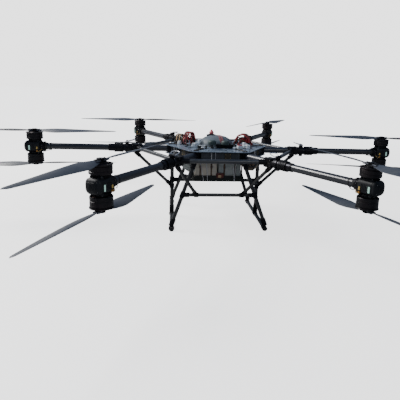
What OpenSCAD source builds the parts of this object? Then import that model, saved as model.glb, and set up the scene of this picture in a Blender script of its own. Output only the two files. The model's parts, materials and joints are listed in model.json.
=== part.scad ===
// Heavy-lift coaxial hexacopter: six folding arms, each with an upper and a lower motor.
// Origin: middle of the battery tray's underside. Front is -Y, right is +X, up is +Z.
// Modules are drawn from the plane of the arm axes and then lifted by arm_z.
// Arm order around the hub: right, rear_right, rear_left, left, front_left, front_right.

/* [Airframe] */
// Distance from the hub centre to each motor axis
arm_reach = 1437; // [1350:1:1550]
// Outer diameter of the arm tubes
tube_d = 50; // [46:1:52]
// Wall of every carbon tube
tube_wall = 2; // [1:0.5:3]
// Distance from the hub centre to the six short plate edges at the arms
plate_r = 416; // [408:1:420]
// Thickness of each hub plate
plate_t = 4; // [3:0.5:6]
// Space between the two hub plates
plate_gap = 62; // [62:1:70]
// Distance from the hub centre to the ring-tube joints
ring_r = 650; // [630:1:660]
// Outer diameter of the ring tubes
ring_tube_d = 30; // [25:1:32]

/* [Fold joint] */
// Distance from the hub centre to each fold hinge
fold_r = 725; // [720:1:740]
// Height of the fold hinge above the arm axis
fold_z = 48; // [48:1:54]
// Outboard travel of the locking sleeve
sleeve_travel = 35; // [20:1:38]
// Diameter of the fold hinge pin
hinge_pin_d = 8; // [6:1:10]

/* [Motors and propellers] */
// Outer diameter of a motor bell
motor_d = 120; // [110:1:130]
// Half the height between the mid-planes of an upper and a lower propeller
prop_z = 131; // [128:1:140]
// Height of the arm axis above the middle between the two propellers
arm_rise = 6; // [0:1:8]
// Propeller diameter
prop_d = 1250; // [1000:10:1300]
// Widest chord of a blade
blade_chord = 84; // [60:1:100]
// Pitch angle of a blade
blade_pitch = 11; // [4:1:16]

/* [Landing gear] */
// Half the distance between the two skids
skid_x = 360; // [330:1:380]
// Half the length of a skid
skid_y = 391; // [350:1:420]
// Height of the arm axes above the ground
ground_clearance = 575; // [540:1:620]
// Outer diameter of the leg and cross-bar tubes
leg_tube_d = 30; // [26:1:32]
// Outer diameter of the skid tubes
skid_tube_d = 32; // [28:1:34]
// Outer diameter of the brace struts
strut_d = 25; // [20:1:26]

/* [Battery bay] */
// Width and depth of the battery bay
bay_size = 390; // [340:2:400]
// Height of a battery pack
pack_h = 160; // [120:1:162]
// Height of the tray's side walls
tray_h = 44; // [20:1:60]

/* [Hidden] */
$fn = 48;

fit = 0.05;             // radial clearance of every sliding, turning or inserted fit
face_gap = 0.2;         // clearance between faces that turn past each other
eps = 0.5;              // overlap that keeps a cut clean
arm_count = 6;
arm_step = 360 / arm_count;

plate_in = plate_gap / 2;                 // inner face of each plate, from the arm axis
plate_out = plate_in + plate_t;           // outer face of each plate
plate_flat = 30;                          // width of a short plate edge at an arm
plate_apothem = plate_r * cos(arm_step / 2) + plate_flat / 2 * sin(arm_step / 2);
clamp_end = plate_r - 14;                 // outboard end of an arm root clamp
clamp_len = 118;
clamp_w = 76;
clamp_bolt_y = 31;
clamp_start = clamp_end - clamp_len;
clamp_bolt_x = [clamp_start + 14, clamp_end - 14];
m5_d = 5;
m5_hole_d = m5_d + 2 * fit;
spacer_r = plate_apothem - 45;
spacer_spread = 90;                       // distance of a spacer from the middle of a long edge
spacer_d = 12;
bolt_head_d = 9;
bolt_head_h = 4;

block_start = 604;                        // inboard end of a fold-joint block
block_d = 64;
flange_d = 70;
flange_t = 13;
socket_start = 44;                        // from the block axis to the end of a ring tube
socket_end = 84;
socket_wall = 4.5;
lug_r = 11;
lug_w = 8;
lug_inner_w = 24;                         // width of the moving lug between the fixed lugs
barrel_d = 60;
sleeve_start = fold_r + 32;
sleeve_len = 65;
barrel_end = sleeve_start + sleeve_len + sleeve_travel + 5;
sleeve_d = 74;

pod_half_h = 42;                          // half height of the pod's body
pad_z = 50;                               // face that a motor bolts to
pad_d = 90;
pod_w = 98;                               // width of the pod's body across the arm
pod_rear = 46;                            // inboard reach of the body from the motor axis
pod_front = 60;                           // outboard reach of the body's straight part
collar_rear = 80;                        // inboard end of the collar that grips the arm tube
pod_inner = arm_reach - 40;               // where the arm tube ends inside the pod
light_x = 31;                             // light strips, outboard of the motor axis
light_size = [12, 5, 42];
bell_bottom_z = pad_z + 8;
bell_wall = 5;
stator_d = motor_d - 2 * bell_wall - 6;
bell_flange_d = 127;
bell_flange_t = 6;
shaft_d = 12;
prop_half_t = 8;
seat_gap = 0.05;                          // between a bell's seat and the propeller on it
prop_r = prop_d / 2;
hub_r = 32;
blade_t = 6;
cap_r = 26;
cap_h = 7;

saddle_pad = 2;                           // saddle metal under a skid tube
skid_z = -ground_clearance + saddle_pad + skid_tube_d / 2;
bar_d = leg_tube_d - 3;                   // cross-bar tubes
foot_t = 6;                               // plate fitting at the top of each leg
leg_top = [190, 281, -plate_out - 22];
leg_foot = [skid_x, skid_y - 26, skid_z + skid_tube_d / 2 + leg_tube_d / 2];
mid_top_z = -plate_out - 22;
bar_share = 0.53;                         // how far down the legs the end cross-bars sit
end_bar = leg_top + bar_share * (leg_foot - leg_top);
mid_bar_z = -263;
side_brace_z = -315;                      // where a side brace meets the middle leg
brace_x = 175;                            // where a corner brace meets the end cross-bar
brace_top_z = -40;
brace_gap = 1.5;                          // between a strut's end and the tube that it lands on

pack_headroom = 32;                       // from the packs to the bottom plate
tray_top = -plate_out - pack_headroom - pack_h;   // floor that the packs stand on
tray_t = 3;
pack_gap = 8;
pack_w = (bay_size - 3 * pack_gap) / 2;
payload_pitch = 160;                      // spacing of the four payload holes in the tray floor
arm_z = tray_t - tray_top;                // height of the arm axes above the tray's underside
cover_r = 145;
cover_h = 78;
cover_wall = 3;
receiver_d = 62;
receiver_x = 52;
receiver_z = 30;                          // height of a receiver's underside above the plate

// Parked turn of each propeller, seen from above, in arm order
park_top = [-10, 57, 5, 6, 66, 104];
park_bottom = [-14, 60, 0, 8, 68, 106];

function arm_dir(k) = [cos(arm_step * k), sin(arm_step * k), 0];
function is_side(k) = k % 3 == 0;
function sign_x(k) = arm_dir(k)[0] > 0 ? 1 : -1;
function sign_y(k) = arm_dir(k)[1] > 0 ? 1 : -1;
function brace_top(k) = ring_r * arm_dir(k) + [0, 0, brace_top_z];
function brace_foot(k) = is_side(k)
    ? [sign_x(k) * skid_x, 0, side_brace_z]
    : [sign_x(k) * brace_x, sign_y(k) * end_bar[1], end_bar[2]];
function unit(v) = v / norm(v);
function brace_way(k) = unit(brace_foot(k) - brace_top(k));
// The tube that a brace strut lands on: its direction and diameter
function host_way(k) = is_side(k) ? [0, 0, 1] : [1, 0, 0];
function host_d(k) = is_side(k) ? leg_tube_d : bar_d;
function brace_cos(k) = abs(brace_way(k) * host_way(k));
// How far short of the host tube's axis a strut has to stop
function brace_stop(k) = (host_d(k) / 2 + strut_d / 2 * brace_cos(k) + brace_gap)
    / sqrt(1 - brace_cos(k) * brace_cos(k));

// Heights measured from the arm axis towards a propeller; side is 1 above and -1 below
function prop_height(side) = prop_z - side * arm_rise;
function bell_top(side) = prop_height(side) - 20;
// Neighbouring arms turn opposite ways, and so do the two propellers on one arm
function turns_left(k, side) = side * (k % 2 == 0 ? -1 : 1) > 0;

module at_arm(k) {
    rotate([0, 0, arm_step * k]) children();
}

// Moves the arm-axis plane up, so that the origin is on the tray's underside
module lifted() {
    translate([0, 0, arm_z]) children();
}

module each_arm() {
    for (k = [0:arm_count - 1]) at_arm(k) children();
}

// Mirrors the lower half of a coaxial pair from the upper half
module on_side(side) {
    mirror([0, 0, side > 0 ? 0 : 1]) children();
}

// Draws its children along the line from a to b, with local +Z pointing at b
module along(a, b) {
    v = b - a;
    translate(a) rotate([0, acos(v[2] / norm(v)), atan2(v[1], v[0])]) children();
}

module rod(a, b, d) {
    along(a, b) cylinder(h = norm(b - a), d = d);
}

module tube_between(a, b, d) {
    along(a, b) difference() {
        cylinder(h = norm(b - a), d = d);
        translate([0, 0, -eps]) cylinder(h = norm(b - a) + 2 * eps, d = d - 2 * tube_wall);
    }
}

// Cylinder along +X from x0 to x1
module xrod(x0, x1, d) {
    translate([x0, 0, 0]) rotate([0, 90, 0]) cylinder(h = x1 - x0, d = d);
}

// Cylinder along Y, centred
module yrod(w, d) {
    rotate([90, 0, 0]) cylinder(h = w, d = d, center = true);
}

module rounded_rect(size, r) {
    square([size[0] - 2 * r, size[1]], center = true);
    square([size[0], size[1] - 2 * r], center = true);
    for (x = [-1, 1], y = [-1, 1]) translate([x * (size[0] / 2 - r), y * (size[1] / 2 - r)]) circle(r);
}

module rounded_box(size, r) {
    linear_extrude(size[2]) rounded_rect([size[0], size[1]], r);
}

// ---- Hub -------------------------------------------------------------------------------

module plate_outline() {
    polygon([for (k = [0:arm_count - 1], s = [-1, 1])
        let (a = arm_step * k, y = s * plate_flat / 2)
        [plate_r * cos(a) - y * sin(a), plate_r * sin(a) + y * cos(a)]]);
}

module clamp_bolt_spots() {
    each_arm() for (x = clamp_bolt_x, s = [-1, 1])
        translate([x, s * clamp_bolt_y]) children();
}

module spacer_spots() {
    for (k = [0:arm_count - 1], s = [-1, 1])
        rotate([0, 0, arm_step * (k + 0.5)]) translate([spacer_r, s * spacer_spread]) children();
}

module hub_plate(z, centre_hole_d) {
    translate([0, 0, z]) linear_extrude(plate_t) difference() {
        plate_outline();
        circle(d = centre_hole_d);
        clamp_bolt_spots() circle(d = m5_hole_d);
        spacer_spots() circle(d = m5_hole_d);
        for (k = [0:arm_count - 1]) rotate([0, 0, arm_step * (k + 0.5)])
            translate([spacer_r - 52, 0]) rounded_rect([34, 120], 10);
    }
}

module top_plate() {
    color("#2b2f33") lifted() hub_plate(plate_in, 70);
}

module bottom_plate() {
    color("#24272a") lifted() difference() {
        hub_plate(-plate_out, 110);
        gear_bolt_spots() translate([0, 0, -plate_out - eps])
            cylinder(h = plate_t + 2 * eps, d = m5_hole_d);
    }
}

module through_bolt() {
    cylinder(h = 2 * plate_out, d = m5_d, center = true);
    for (side = [-1, 1]) on_side(side) translate([0, 0, plate_out])
        cylinder(h = bolt_head_h, d = bolt_head_d);
}

module plate_fasteners() {
    color("silver") lifted() {
        clamp_bolt_spots() through_bolt();
        gear_bolt_spots() translate([0, 0, -plate_out - foot_t]) {
            translate([0, 0, -bolt_head_h]) cylinder(h = bolt_head_h, d = bolt_head_d);
            translate([0, 0, -eps]) cylinder(h = foot_t + plate_t, d = m5_d);
        }
        spacer_spots() {
            through_bolt();
            cylinder(h = plate_gap, d = spacer_d, center = true);
        }
    }
}

module arm_root_clamps() {
    color("#1c1e20") lifted() each_arm() difference() {
        translate([clamp_start, -clamp_w / 2, -plate_in]) cube([clamp_len, clamp_w, plate_gap]);
        xrod(clamp_start - eps, clamp_end + eps, tube_d + 2 * fit);
        // slit that lets the clamp close on its tube
        translate([clamp_start - eps, tube_d / 2 - 1, -1]) cube([clamp_len + 2 * eps, clamp_w, 2]);
        for (x = clamp_bolt_x, s = [-1, 1])
            translate([x, s * clamp_bolt_y, 0]) cylinder(h = plate_gap + 2, d = m5_hole_d, center = true);
    }
}

module inner_arm_tubes() {
    color("#303338") lifted() each_arm() tube_between([150, 0, 0], [fold_r - flange_t - 12, 0, 0], tube_d);
}

// ---- Perimeter ring and fold joints ------------------------------------------------------

module ring_tubes() {
    color("#8f949a") lifted() for (k = [0:arm_count - 1]) {
        a = ring_r * arm_dir(k);
        b = ring_r * arm_dir(k + 1);
        v = unit(b - a) * (socket_start + 1);
        tube_between(a + v, b - v, ring_tube_d);
    }
}

module ring_socket(turn, cut) {
    translate([ring_r, 0, 0]) rotate([0, 0, turn])
        if (cut) xrod(socket_start, socket_end + eps, ring_tube_d + 2 * fit);
        else xrod(0, socket_end, ring_tube_d + 2 * socket_wall);
}

// Socket for the brace strut, given in the airframe's own axes
module brace_socket(k, cut) {
    v = unit(brace_foot(k) - brace_top(k));
    if (cut) rod(brace_top(k) + 8 * v, brace_top(k) + 50 * v, strut_d + 2 * fit);
    else rod(brace_top(k) - 14 * v, brace_top(k) + 38 * v, strut_d + 2 * socket_wall);
}

module fixed_lug(s) {
    translate([fold_r, s * (lug_inner_w + lug_w + 2 * face_gap) / 2, fold_z]) yrod(lug_w, 2 * lug_r);
    translate([fold_r - flange_t, s * (lug_inner_w + lug_w + 2 * face_gap) / 2 - lug_w / 2, 24])
        cube([flange_t - face_gap, lug_w, fold_z - 24]);
}

module fold_joint_blocks() {
    color("#1a1c1e") lifted() for (k = [0:arm_count - 1]) difference() {
        union() {
            at_arm(k) {
                xrod(block_start, fold_r - flange_t, block_d);
                translate([block_start + 12, -block_d / 2, -block_d / 2]) cube([76, block_d, block_d]);
                xrod(fold_r - flange_t - eps, fold_r - face_gap, flange_d);
                for (s = [-1, 1]) ring_socket(s * 120, false);
                for (s = [-1, 1]) fixed_lug(s);
                translate([fold_r - flange_t, -9, -flange_d / 2 - 11])
                    cube([flange_t - face_gap, 18, flange_d / 2]);
            }
            brace_socket(k, false);
        }
        at_arm(k) {
            xrod(block_start - eps, fold_r - flange_t - 11, tube_d + 2 * fit);
            for (s = [-1, 1]) ring_socket(s * 120, true);
            translate([fold_r, 0, fold_z]) yrod(80, hinge_pin_d + 2 * fit);
        }
        brace_socket(k, true);
    }
}

module hinge_pins() {
    color("#c9cdd2") lifted() each_arm() translate([fold_r, 0, fold_z]) {
        yrod(lug_inner_w + 2 * lug_w + 4, hinge_pin_d);
        for (s = [-1, 1]) translate([0, s * (lug_inner_w / 2 + lug_w + 3), 0]) yrod(4, hinge_pin_d + 5);
    }
}

module brace_struts() {
    color("#17181a") lifted() for (k = [0:arm_count - 1]) {
        v = brace_way(k);
        tube_between(brace_top(k) + 9 * v, brace_foot(k) - brace_stop(k) * v, strut_d);
    }
}

// ---- Landing gear -------------------------------------------------------------------------

function leg_at(sx, sy, t) = mirror_xy(leg_top + t * (leg_foot - leg_top), sx, sy);
function mirror_xy(p, sx, sy) = [sx * p[0], sy * p[1], p[2]];

module gear_bolt_spots() {
    spread = 34;
    for (sx = [-1, 1], sy = [-1, 1], dx = [-1, 1])
        translate([sx * leg_top[0] + dx * spread, sy * leg_top[1], 0]) children();
    for (sx = [-1, 1], dy = [-1, 1]) translate([sx * skid_x, dy * spread, 0]) children();
}

module skid_tubes() {
    color("#1d1f22") lifted() for (s = [-1, 1])
        tube_between([s * skid_x, -skid_y, skid_z], [s * skid_x, skid_y, skid_z], skid_tube_d);
}

module skid_caps() {
    color("#0f1011") lifted() for (sx = [-1, 1], sy = [-1, 1]) translate([sx * skid_x, sy * skid_y, skid_z])
        rotate([-sy * 90, 0, 0]) {
            translate([0, 0, fit]) cylinder(h = 9, d = skid_tube_d);
            translate([0, 0, -18]) cylinder(h = 18 + eps, d = skid_tube_d - 2 * tube_wall - 2 * fit);
        }
}

module gear_tubes() {
    color("#17181a") lifted() {
        for (sx = [-1, 1], sy = [-1, 1])
            tube_between(leg_at(sx, sy, 0.03), leg_at(sx, sy, 0.99), leg_tube_d);
        for (sx = [-1, 1])
            tube_between([sx * skid_x, 0, mid_top_z - 8], [sx * skid_x, 0, leg_foot[2] + 3.5], leg_tube_d);
        for (sy = [-1, 1])
            tube_between([leg_tube_d - end_bar[0], sy * end_bar[1], end_bar[2]],
                [end_bar[0] - leg_tube_d, sy * end_bar[1], end_bar[2]], bar_d);
        tube_between([leg_tube_d - skid_x, 0, mid_bar_z], [skid_x - leg_tube_d, 0, mid_bar_z], bar_d);
    }
}

module plate_foot(turn) {
    translate([0, 0, -plate_out - foot_t]) rotate([0, 0, turn]) rounded_box([92, 40, foot_t], 8);
}

module gear_clamps() {
    color("#222427") lifted() {
        // feet under the bottom plate that hold the leg tops
        for (sx = [-1, 1], sy = [-1, 1]) difference() {
            union() {
                translate([sx * leg_top[0], sy * leg_top[1], 0]) plate_foot(0);
                rod(leg_at(sx, sy, -0.03), leg_at(sx, sy, 0.11), leg_tube_d + 9);
            }
            rod(leg_at(sx, sy, 0.029), leg_at(sx, sy, 0.12), leg_tube_d + 2 * fit);
            translate([0, 0, -plate_out]) cylinder(h = plate_gap, r = plate_r + 50);
            gear_bolt_spots() translate([0, 0, -plate_out - 7]) cylinder(h = 8, d = m5_hole_d);
        }
        for (sx = [-1, 1]) difference() {
            union() {
                translate([sx * skid_x, 0, 0]) plate_foot(90);
                rod([sx * skid_x, 0, -plate_out - 2], [sx * skid_x, 0, mid_top_z - 40], leg_tube_d + 9);
            }
            rod([sx * skid_x, 0, mid_top_z - 7.5], [sx * skid_x, 0, mid_top_z - 50], leg_tube_d + 2 * fit);
            gear_bolt_spots() translate([0, 0, -plate_out - 7]) cylinder(h = 8, d = m5_hole_d);
        }
        // tees where the end cross-bars meet the legs
        for (sx = [-1, 1], sy = [-1, 1]) difference() {
            union() {
                rod(leg_at(sx, sy, bar_share - 0.045), leg_at(sx, sy, bar_share + 0.045), leg_tube_d + 9);
                rod(leg_at(sx, sy, bar_share), leg_at(sx, sy, bar_share) - [sx * 52, 0, 0], leg_tube_d + 6);
            }
            rod(leg_at(sx, sy, bar_share - 0.1), leg_at(sx, sy, bar_share + 0.1), leg_tube_d + 2 * fit);
            rod(leg_at(sx, sy, bar_share) - [sx * (leg_tube_d - 0.5), 0, 0],
                leg_at(sx, sy, bar_share) - [sx * 60, 0, 0], bar_d + 2 * fit);
        }
        // tees where the middle cross-bar meets the upright legs
        for (sx = [-1, 1]) difference() {
            union() {
                rod([sx * skid_x, 0, mid_bar_z - 20], [sx * skid_x, 0, mid_bar_z + 24], leg_tube_d + 9);
                rod([sx * skid_x, 0, mid_bar_z], [sx * (skid_x - 52), 0, mid_bar_z], leg_tube_d + 6);
            }
            rod([sx * skid_x, 0, mid_bar_z - 40], [sx * skid_x, 0, mid_bar_z + 40], leg_tube_d + 2 * fit);
            rod([sx * (skid_x - leg_tube_d + 0.5), 0, mid_bar_z], [sx * (skid_x - 60), 0, mid_bar_z],
                bar_d + 2 * fit);
            for (k = [0, 3]) brace_bore(k);
        }
        // collars that take the brace struts
        for (k = [0:arm_count - 1]) brace_collar(k);
        // saddles that join each leg to its skid
        for (sx = [-1, 1], sy = [-1, 0, 1]) skid_saddle(sx, sy);
    }
}

module brace_bore(k) {
    v = brace_way(k);
    rod(brace_foot(k) - (brace_stop(k) - 0.5) * v, brace_foot(k) - (brace_stop(k) + 34) * v,
        strut_d + 2 * fit);
}

module brace_collar(k) {
    foot = brace_foot(k);
    host = host_way(k);
    difference() {
        union() {
            rod(foot - 17 * host, foot + 17 * host, host_d(k) + 9);
            rod(foot, foot - (brace_stop(k) + 24) * brace_way(k), strut_d + 8);
        }
        rod(foot - 60 * host, foot + 60 * host, host_d(k) + 2 * fit);
        brace_bore(k);
    }
}

module skid_saddle(sx, sy) {
    base = [sx * skid_x, sy * leg_foot[1], skid_z];
    foot = [base[0], base[1], leg_foot[2]];
    up = sy == 0 ? [0, 0, 1] : unit(leg_at(sx, sy, 0) - foot);
    difference() {
        union() {
            rod(base - [0, 24, 0], base + [0, 24, 0], skid_tube_d + 9);
            rod(foot - 13 * up, foot + 44 * up, leg_tube_d + 9);
        }
        translate([0, 0, -ground_clearance - 20]) cube([3 * skid_x, 3 * skid_y, 40], center = true);
        rod(base - [0, 40, 0], base + [0, 40, 0], skid_tube_d + 2 * fit);
        rod(foot + 3 * up, foot + 60 * up, leg_tube_d + 2 * fit);
    }
}

// ---- Battery bay and avionics ----------------------------------------------------------

module battery_packs() {
    color("#b9b3a4") lifted() for (x = [-1, 1], y = [-1, 1])
        translate([x * (pack_w + pack_gap) / 2, y * (pack_w + pack_gap) / 2, tray_top])
            rounded_box([pack_w, pack_w, pack_h], 9);
}

module battery_tray() {
    outer = bay_size + 2 * tray_t;
    color("#141516") lifted() difference() {
        union() {
            translate([0, 0, tray_top - tray_t]) difference() {
                rounded_box([outer, outer, tray_h + tray_t], 14);
                translate([0, 0, tray_t]) rounded_box([bay_size, bay_size, tray_h + eps], 12);
            }
            for (x = [-1, 1], y = [-1, 0, 1])
                translate([x * (bay_size / 2 + 4) - 6, y * bay_size * 0.36 - 6, tray_top - tray_t])
                    cube([12, 12, -plate_out - tray_top + tray_t]);
        }
        // lightening windows in the tray floor
        for (turn = [0:90:270]) rotate([0, 0, turn])
            translate([bay_size * 0.33, 0, tray_top - 2 * tray_t]) rounded_box([70, 150, 4 * tray_t], 16);
        payload_holes();
        translate([0, 0, tray_top]) rounded_box([bay_size, bay_size, pack_h + 20], 12);
    }
}

module payload_holes() {
    for (x = [-1, 1], y = [-1, 1])
        translate([x * payload_pitch / 2, y * payload_pitch / 2, tray_top - 3 * tray_t])
            cylinder(h = 6 * tray_t, d = m5_hole_d);
}

module avionics_units() {
    color("#101214") lifted() {
        // flight controller under the cover
        translate([0, 0, plate_out]) {
            rounded_box([96, 64, 22], 5);
            translate([0, 0, 22 - eps]) rounded_box([60, 44, 6], 4);
        }
        // satellite receivers on short stems in front of the cover
        for (s = [-1, 1]) translate([s * receiver_x, -cover_r - 38, plate_out]) {
            cylinder(h = 4, d = 34);
            cylinder(h = receiver_z, d = 10);
            translate([0, 0, receiver_z - eps]) cylinder(h = 22, d = receiver_d);
            translate([0, 0, receiver_z + 22 - 2 * eps])
                cylinder(h = 12, d1 = receiver_d, d2 = 0.6 * receiver_d);
        }
    }
}

module avionics_cover() {
    color("#8b9096") lifted() translate([0, 0, plate_out]) rotate_extrude($fn = 96) difference() {
        dome_profile(cover_r, cover_h);
        dome_profile(cover_r - cover_wall, cover_h - cover_wall);
    }
}

// Half section of a low dome, a circular arc over a short upright skirt
module dome_profile(r, h) {
    skirt = 14;
    rise = h - skirt;
    arc_r = (r * r + rise * rise) / (2 * rise);
    intersection() {
        translate([0, h - arc_r]) circle(arc_r, $fn = 180);
        square([r, h]);
    }
}

// One bundle of battery leads: loops that stand on the top plate between two rows of plugs
module lead_bundle(x, turn) {
    plug_h = 24;
    loop_r = 44;
    rise = 46;
    translate([x, -30, plate_out]) rotate([0, 0, turn]) for (i = [-2:1:2]) translate([0, i * 17, plug_h]) {
        translate([0, 0, rise]) rotate([90, 0, 0]) rotate_extrude(angle = 180)
            translate([loop_r, 0]) circle(d = 8);
        for (s = [-1, 1]) translate([s * loop_r, 0, -plug_h]) {
            translate([-10, -8, 0]) cube([20, 16, plug_h]);
            cylinder(h = plug_h + rise + 2, d = 10);
        }
    }
}

module power_leads() {
    color("#a01c1c") lifted() {
        lead_bundle(-229, 25);
        lead_bundle(225, -20);
    }
}

// ---- Folding arms ---------------------------------------------------------------------

module arm(k) {
    at_arm(k) {
        color("#1a1c1e") lifted() difference() {
            union() {
                xrod(fold_r + face_gap, fold_r + flange_t, flange_d);
                xrod(fold_r + flange_t - eps, barrel_end, barrel_d);
                translate([fold_r, 0, fold_z]) yrod(lug_inner_w, 2 * lug_r);
                translate([fold_r + face_gap, -lug_inner_w / 2, 24])
                    cube([flange_t - face_gap, lug_inner_w, fold_z - 24]);
                translate([fold_r + face_gap, -9, -flange_d / 2 - 11])
                    cube([flange_t - face_gap, 18, flange_d / 2]);
            }
            xrod(fold_r + flange_t + 8, barrel_end + eps, tube_d + 2 * fit);
            translate([fold_r, 0, fold_z]) yrod(80, hinge_pin_d + 2 * fit);
        }
        color("#303338") lifted() tube_between([fold_r + flange_t + 9, 0, 0], [pod_inner, 0, 0], tube_d);
    }
}

module lock_sleeve(k) {
    groove_pitch = 9;
    color("#25282b") lifted() at_arm(k) difference() {
        xrod(sleeve_start, sleeve_start + sleeve_len, sleeve_d);
        xrod(sleeve_start - eps, sleeve_start + sleeve_len + eps, barrel_d + 2 * fit);
        for (i = [0:5]) translate([sleeve_start + 8 + i * groove_pitch, 0, 0]) difference() {
            xrod(0, 4, sleeve_d + 4);
            xrod(-eps, 4 + eps, sleeve_d - 5);
        }
    }
}

// ---- Motor pods -----------------------------------------------------------------------

// Rounded box along +X from x0 to x1, measured from the motor axis
module pod_section(x0, x1, size, r) {
    translate([arm_reach + x0, 0, 0]) rotate([90, 0, 90]) linear_extrude(x1 - x0) rounded_rect(size, r);
}

module pod_body() {
    end_cap = pod_front + 10;
    difference() {
        union() {
            pod_section(-pod_rear, pod_front, [pod_w, 2 * pod_half_h], 22);
            pod_section(pod_front - eps, end_cap, [pod_w - 12, 2 * pod_half_h - 12], 18);
            pod_section(end_cap - eps, end_cap + 6, [pod_w - 34, 2 * pod_half_h - 30], 14);
            xrod(arm_reach - collar_rear, arm_reach - pod_rear + 2, tube_d + 18);
            translate([arm_reach, 0, -pad_z]) cylinder(h = 2 * pad_z, d = pad_d);
        }
        xrod(arm_reach - collar_rear - eps, pod_inner + 1, tube_d + 2 * fit);
        // recesses for the light strips
        for (s = [-1, 1]) translate([arm_reach + light_x, s * pod_w / 2, 0])
            cube([light_size[0] + 0.2, 2 * light_size[1] - 1.8, light_size[2] + 0.2], center = true);
        // blind holes that hold the lower ends of the motor shafts
        for (side = [-1, 1]) on_side(side) translate([arm_reach, 0, pad_z - 6])
            cylinder(h = 8, d = shaft_d + 4);
    }
}

module stator(side) {
    core_z = pad_z + 10;
    translate([arm_reach, 0, 0]) difference() {
        union() {
            translate([0, 0, pad_z + fit]) cylinder(h = 7, d = pad_d);
            translate([0, 0, pad_z + 7 - eps]) cylinder(h = 4 + 2 * eps, d = 60);
            translate([0, 0, core_z]) cylinder(h = bell_top(side) - 8 - core_z, d = stator_d);
        }
        translate([0, 0, pad_z - eps]) cylinder(h = prop_z, d = shaft_d + 2 * fit);
    }
}

module motor_pod(k) {
    at_arm(k) {
        color("#16181a") lifted() pod_body();
        color("#8a5a2b") lifted() for (side = [-1, 1]) on_side(side) stator(side);
        color("#cfe8d8") lifted() for (s = [-1, 1])
            translate([arm_reach + light_x, s * (pod_w - light_size[1] + 2) / 2, 0])
            cube(light_size, center = true);
    }
}

module bell(k, side) {
    vent_count = 12;
    top = bell_top(side);
    color("#1b1d20") lifted() at_arm(k) on_side(side) translate([arm_reach, 0, 0]) difference() {
        union() {
            difference() {
                translate([0, 0, bell_bottom_z]) cylinder(h = top - bell_bottom_z, d = motor_d);
                translate([0, 0, bell_bottom_z - eps])
                    cylinder(h = top - bell_bottom_z - 4 + eps, d = motor_d - 2 * bell_wall);
            }
            translate([0, 0, top - eps]) cylinder(h = bell_flange_t + eps, d = bell_flange_d);
            translate([0, 0, top]) cylinder(h = prop_height(side) - prop_half_t - seat_gap - top, r = hub_r);
            translate([0, 0, pad_z + 2]) cylinder(h = top - pad_z - 2, d = shaft_d);
        }
        for (i = [0:vent_count - 1]) rotate([0, 0, i * 360 / vent_count])
            translate([motor_d / 2 - 16, -6, top - 6]) cube([9, 12, 14]);
        for (i = [0:3]) rotate([0, 0, 45 + i * 90]) translate([20, 0, top - 2])
            cylinder(h = 30, d = 4);
    }
}

function blade_width(t) = t < 0.3
    ? 44 + (blade_chord - 44) * sin(300 * t)
    : blade_chord * (1 - 0.78 * pow((t - 0.3) / 0.7, 1.25));

// Planform of one blade, root to tip along +X, with its leading edge on the +Y side
module blade_outline() {
    stations = 14;
    root = hub_r - 6;
    span = prop_r - root;
    lead = [for (i = [0:stations]) let (t = i / stations) [root + span * t, 0.38 * blade_width(t)]];
    trail = [for (i = [stations:-1:0]) let (t = i / stations) [root + span * t, -0.62 * blade_width(t)]];
    polygon(concat(lead, trail));
}

module prop(k, side) {
    park = side > 0 ? park_top[k] : park_bottom[k];
    color("#3a3e44") lifted() translate(arm_reach * arm_dir(k)) rotate([0, 0, park]) on_side(side)
        translate([0, 0, prop_height(side)]) difference() {
            union() {
                translate([0, 0, -prop_half_t]) cylinder(h = 2 * prop_half_t, r = hub_r);
                translate([0, 0, prop_half_t - eps]) cylinder(h = cap_h, r = cap_r);
                for (turn = [0, 180]) rotate([0, 0, turn]) mirror([0, turns_left(k, side) ? 0 : 1, 0])
                    rotate([side * blade_pitch, 0, 0])
                    translate([0, 0, -blade_t / 2]) linear_extrude(blade_t) blade_outline();
            }
            for (i = [0:3]) rotate([0, 0, 45 + i * 90]) translate([20, 0, -prop_half_t - eps])
                cylinder(h = 40, d = 4);
        }
}

top_plate();
bottom_plate();
plate_fasteners();
arm_root_clamps();
inner_arm_tubes();
ring_tubes();
fold_joint_blocks();
hinge_pins();
brace_struts();
skid_tubes();
skid_caps();
gear_tubes();
gear_clamps();
battery_packs();
battery_tray();
avionics_units();
avionics_cover();
power_leads();
arm(0);  // arm_right
arm(1);  // arm_rear_right
arm(2);  // arm_rear_left
arm(3);  // arm_left
arm(4);  // arm_front_left
arm(5);  // arm_front_right
lock_sleeve(0);  // lock_sleeve_right
lock_sleeve(1);  // lock_sleeve_rear_right
lock_sleeve(2);  // lock_sleeve_rear_left
lock_sleeve(3);  // lock_sleeve_left
lock_sleeve(4);  // lock_sleeve_front_left
lock_sleeve(5);  // lock_sleeve_front_right
motor_pod(0);  // motor_pod_right
motor_pod(1);  // motor_pod_rear_right
motor_pod(2);  // motor_pod_rear_left
motor_pod(3);  // motor_pod_left
motor_pod(4);  // motor_pod_front_left
motor_pod(5);  // motor_pod_front_right
bell(0, 1);  // bell_top_right
bell(1, 1);  // bell_top_rear_right
bell(2, 1);  // bell_top_rear_left
bell(3, 1);  // bell_top_left
bell(4, 1);  // bell_top_front_left
bell(5, 1);  // bell_top_front_right
bell(0, -1);  // bell_bottom_right
bell(1, -1);  // bell_bottom_rear_right
bell(2, -1);  // bell_bottom_rear_left
bell(3, -1);  // bell_bottom_left
bell(4, -1);  // bell_bottom_front_left
bell(5, -1);  // bell_bottom_front_right
prop(0, 1);  // prop_top_right
prop(1, 1);  // prop_top_rear_right
prop(2, 1);  // prop_top_rear_left
prop(3, 1);  // prop_top_left
prop(4, 1);  // prop_top_front_left
prop(5, 1);  // prop_top_front_right
prop(0, -1);  // prop_bottom_right
prop(1, -1);  // prop_bottom_rear_right
prop(2, -1);  // prop_bottom_rear_left
prop(3, -1);  // prop_bottom_left
prop(4, -1);  // prop_bottom_front_left
prop(5, -1);  // prop_bottom_front_right
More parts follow.
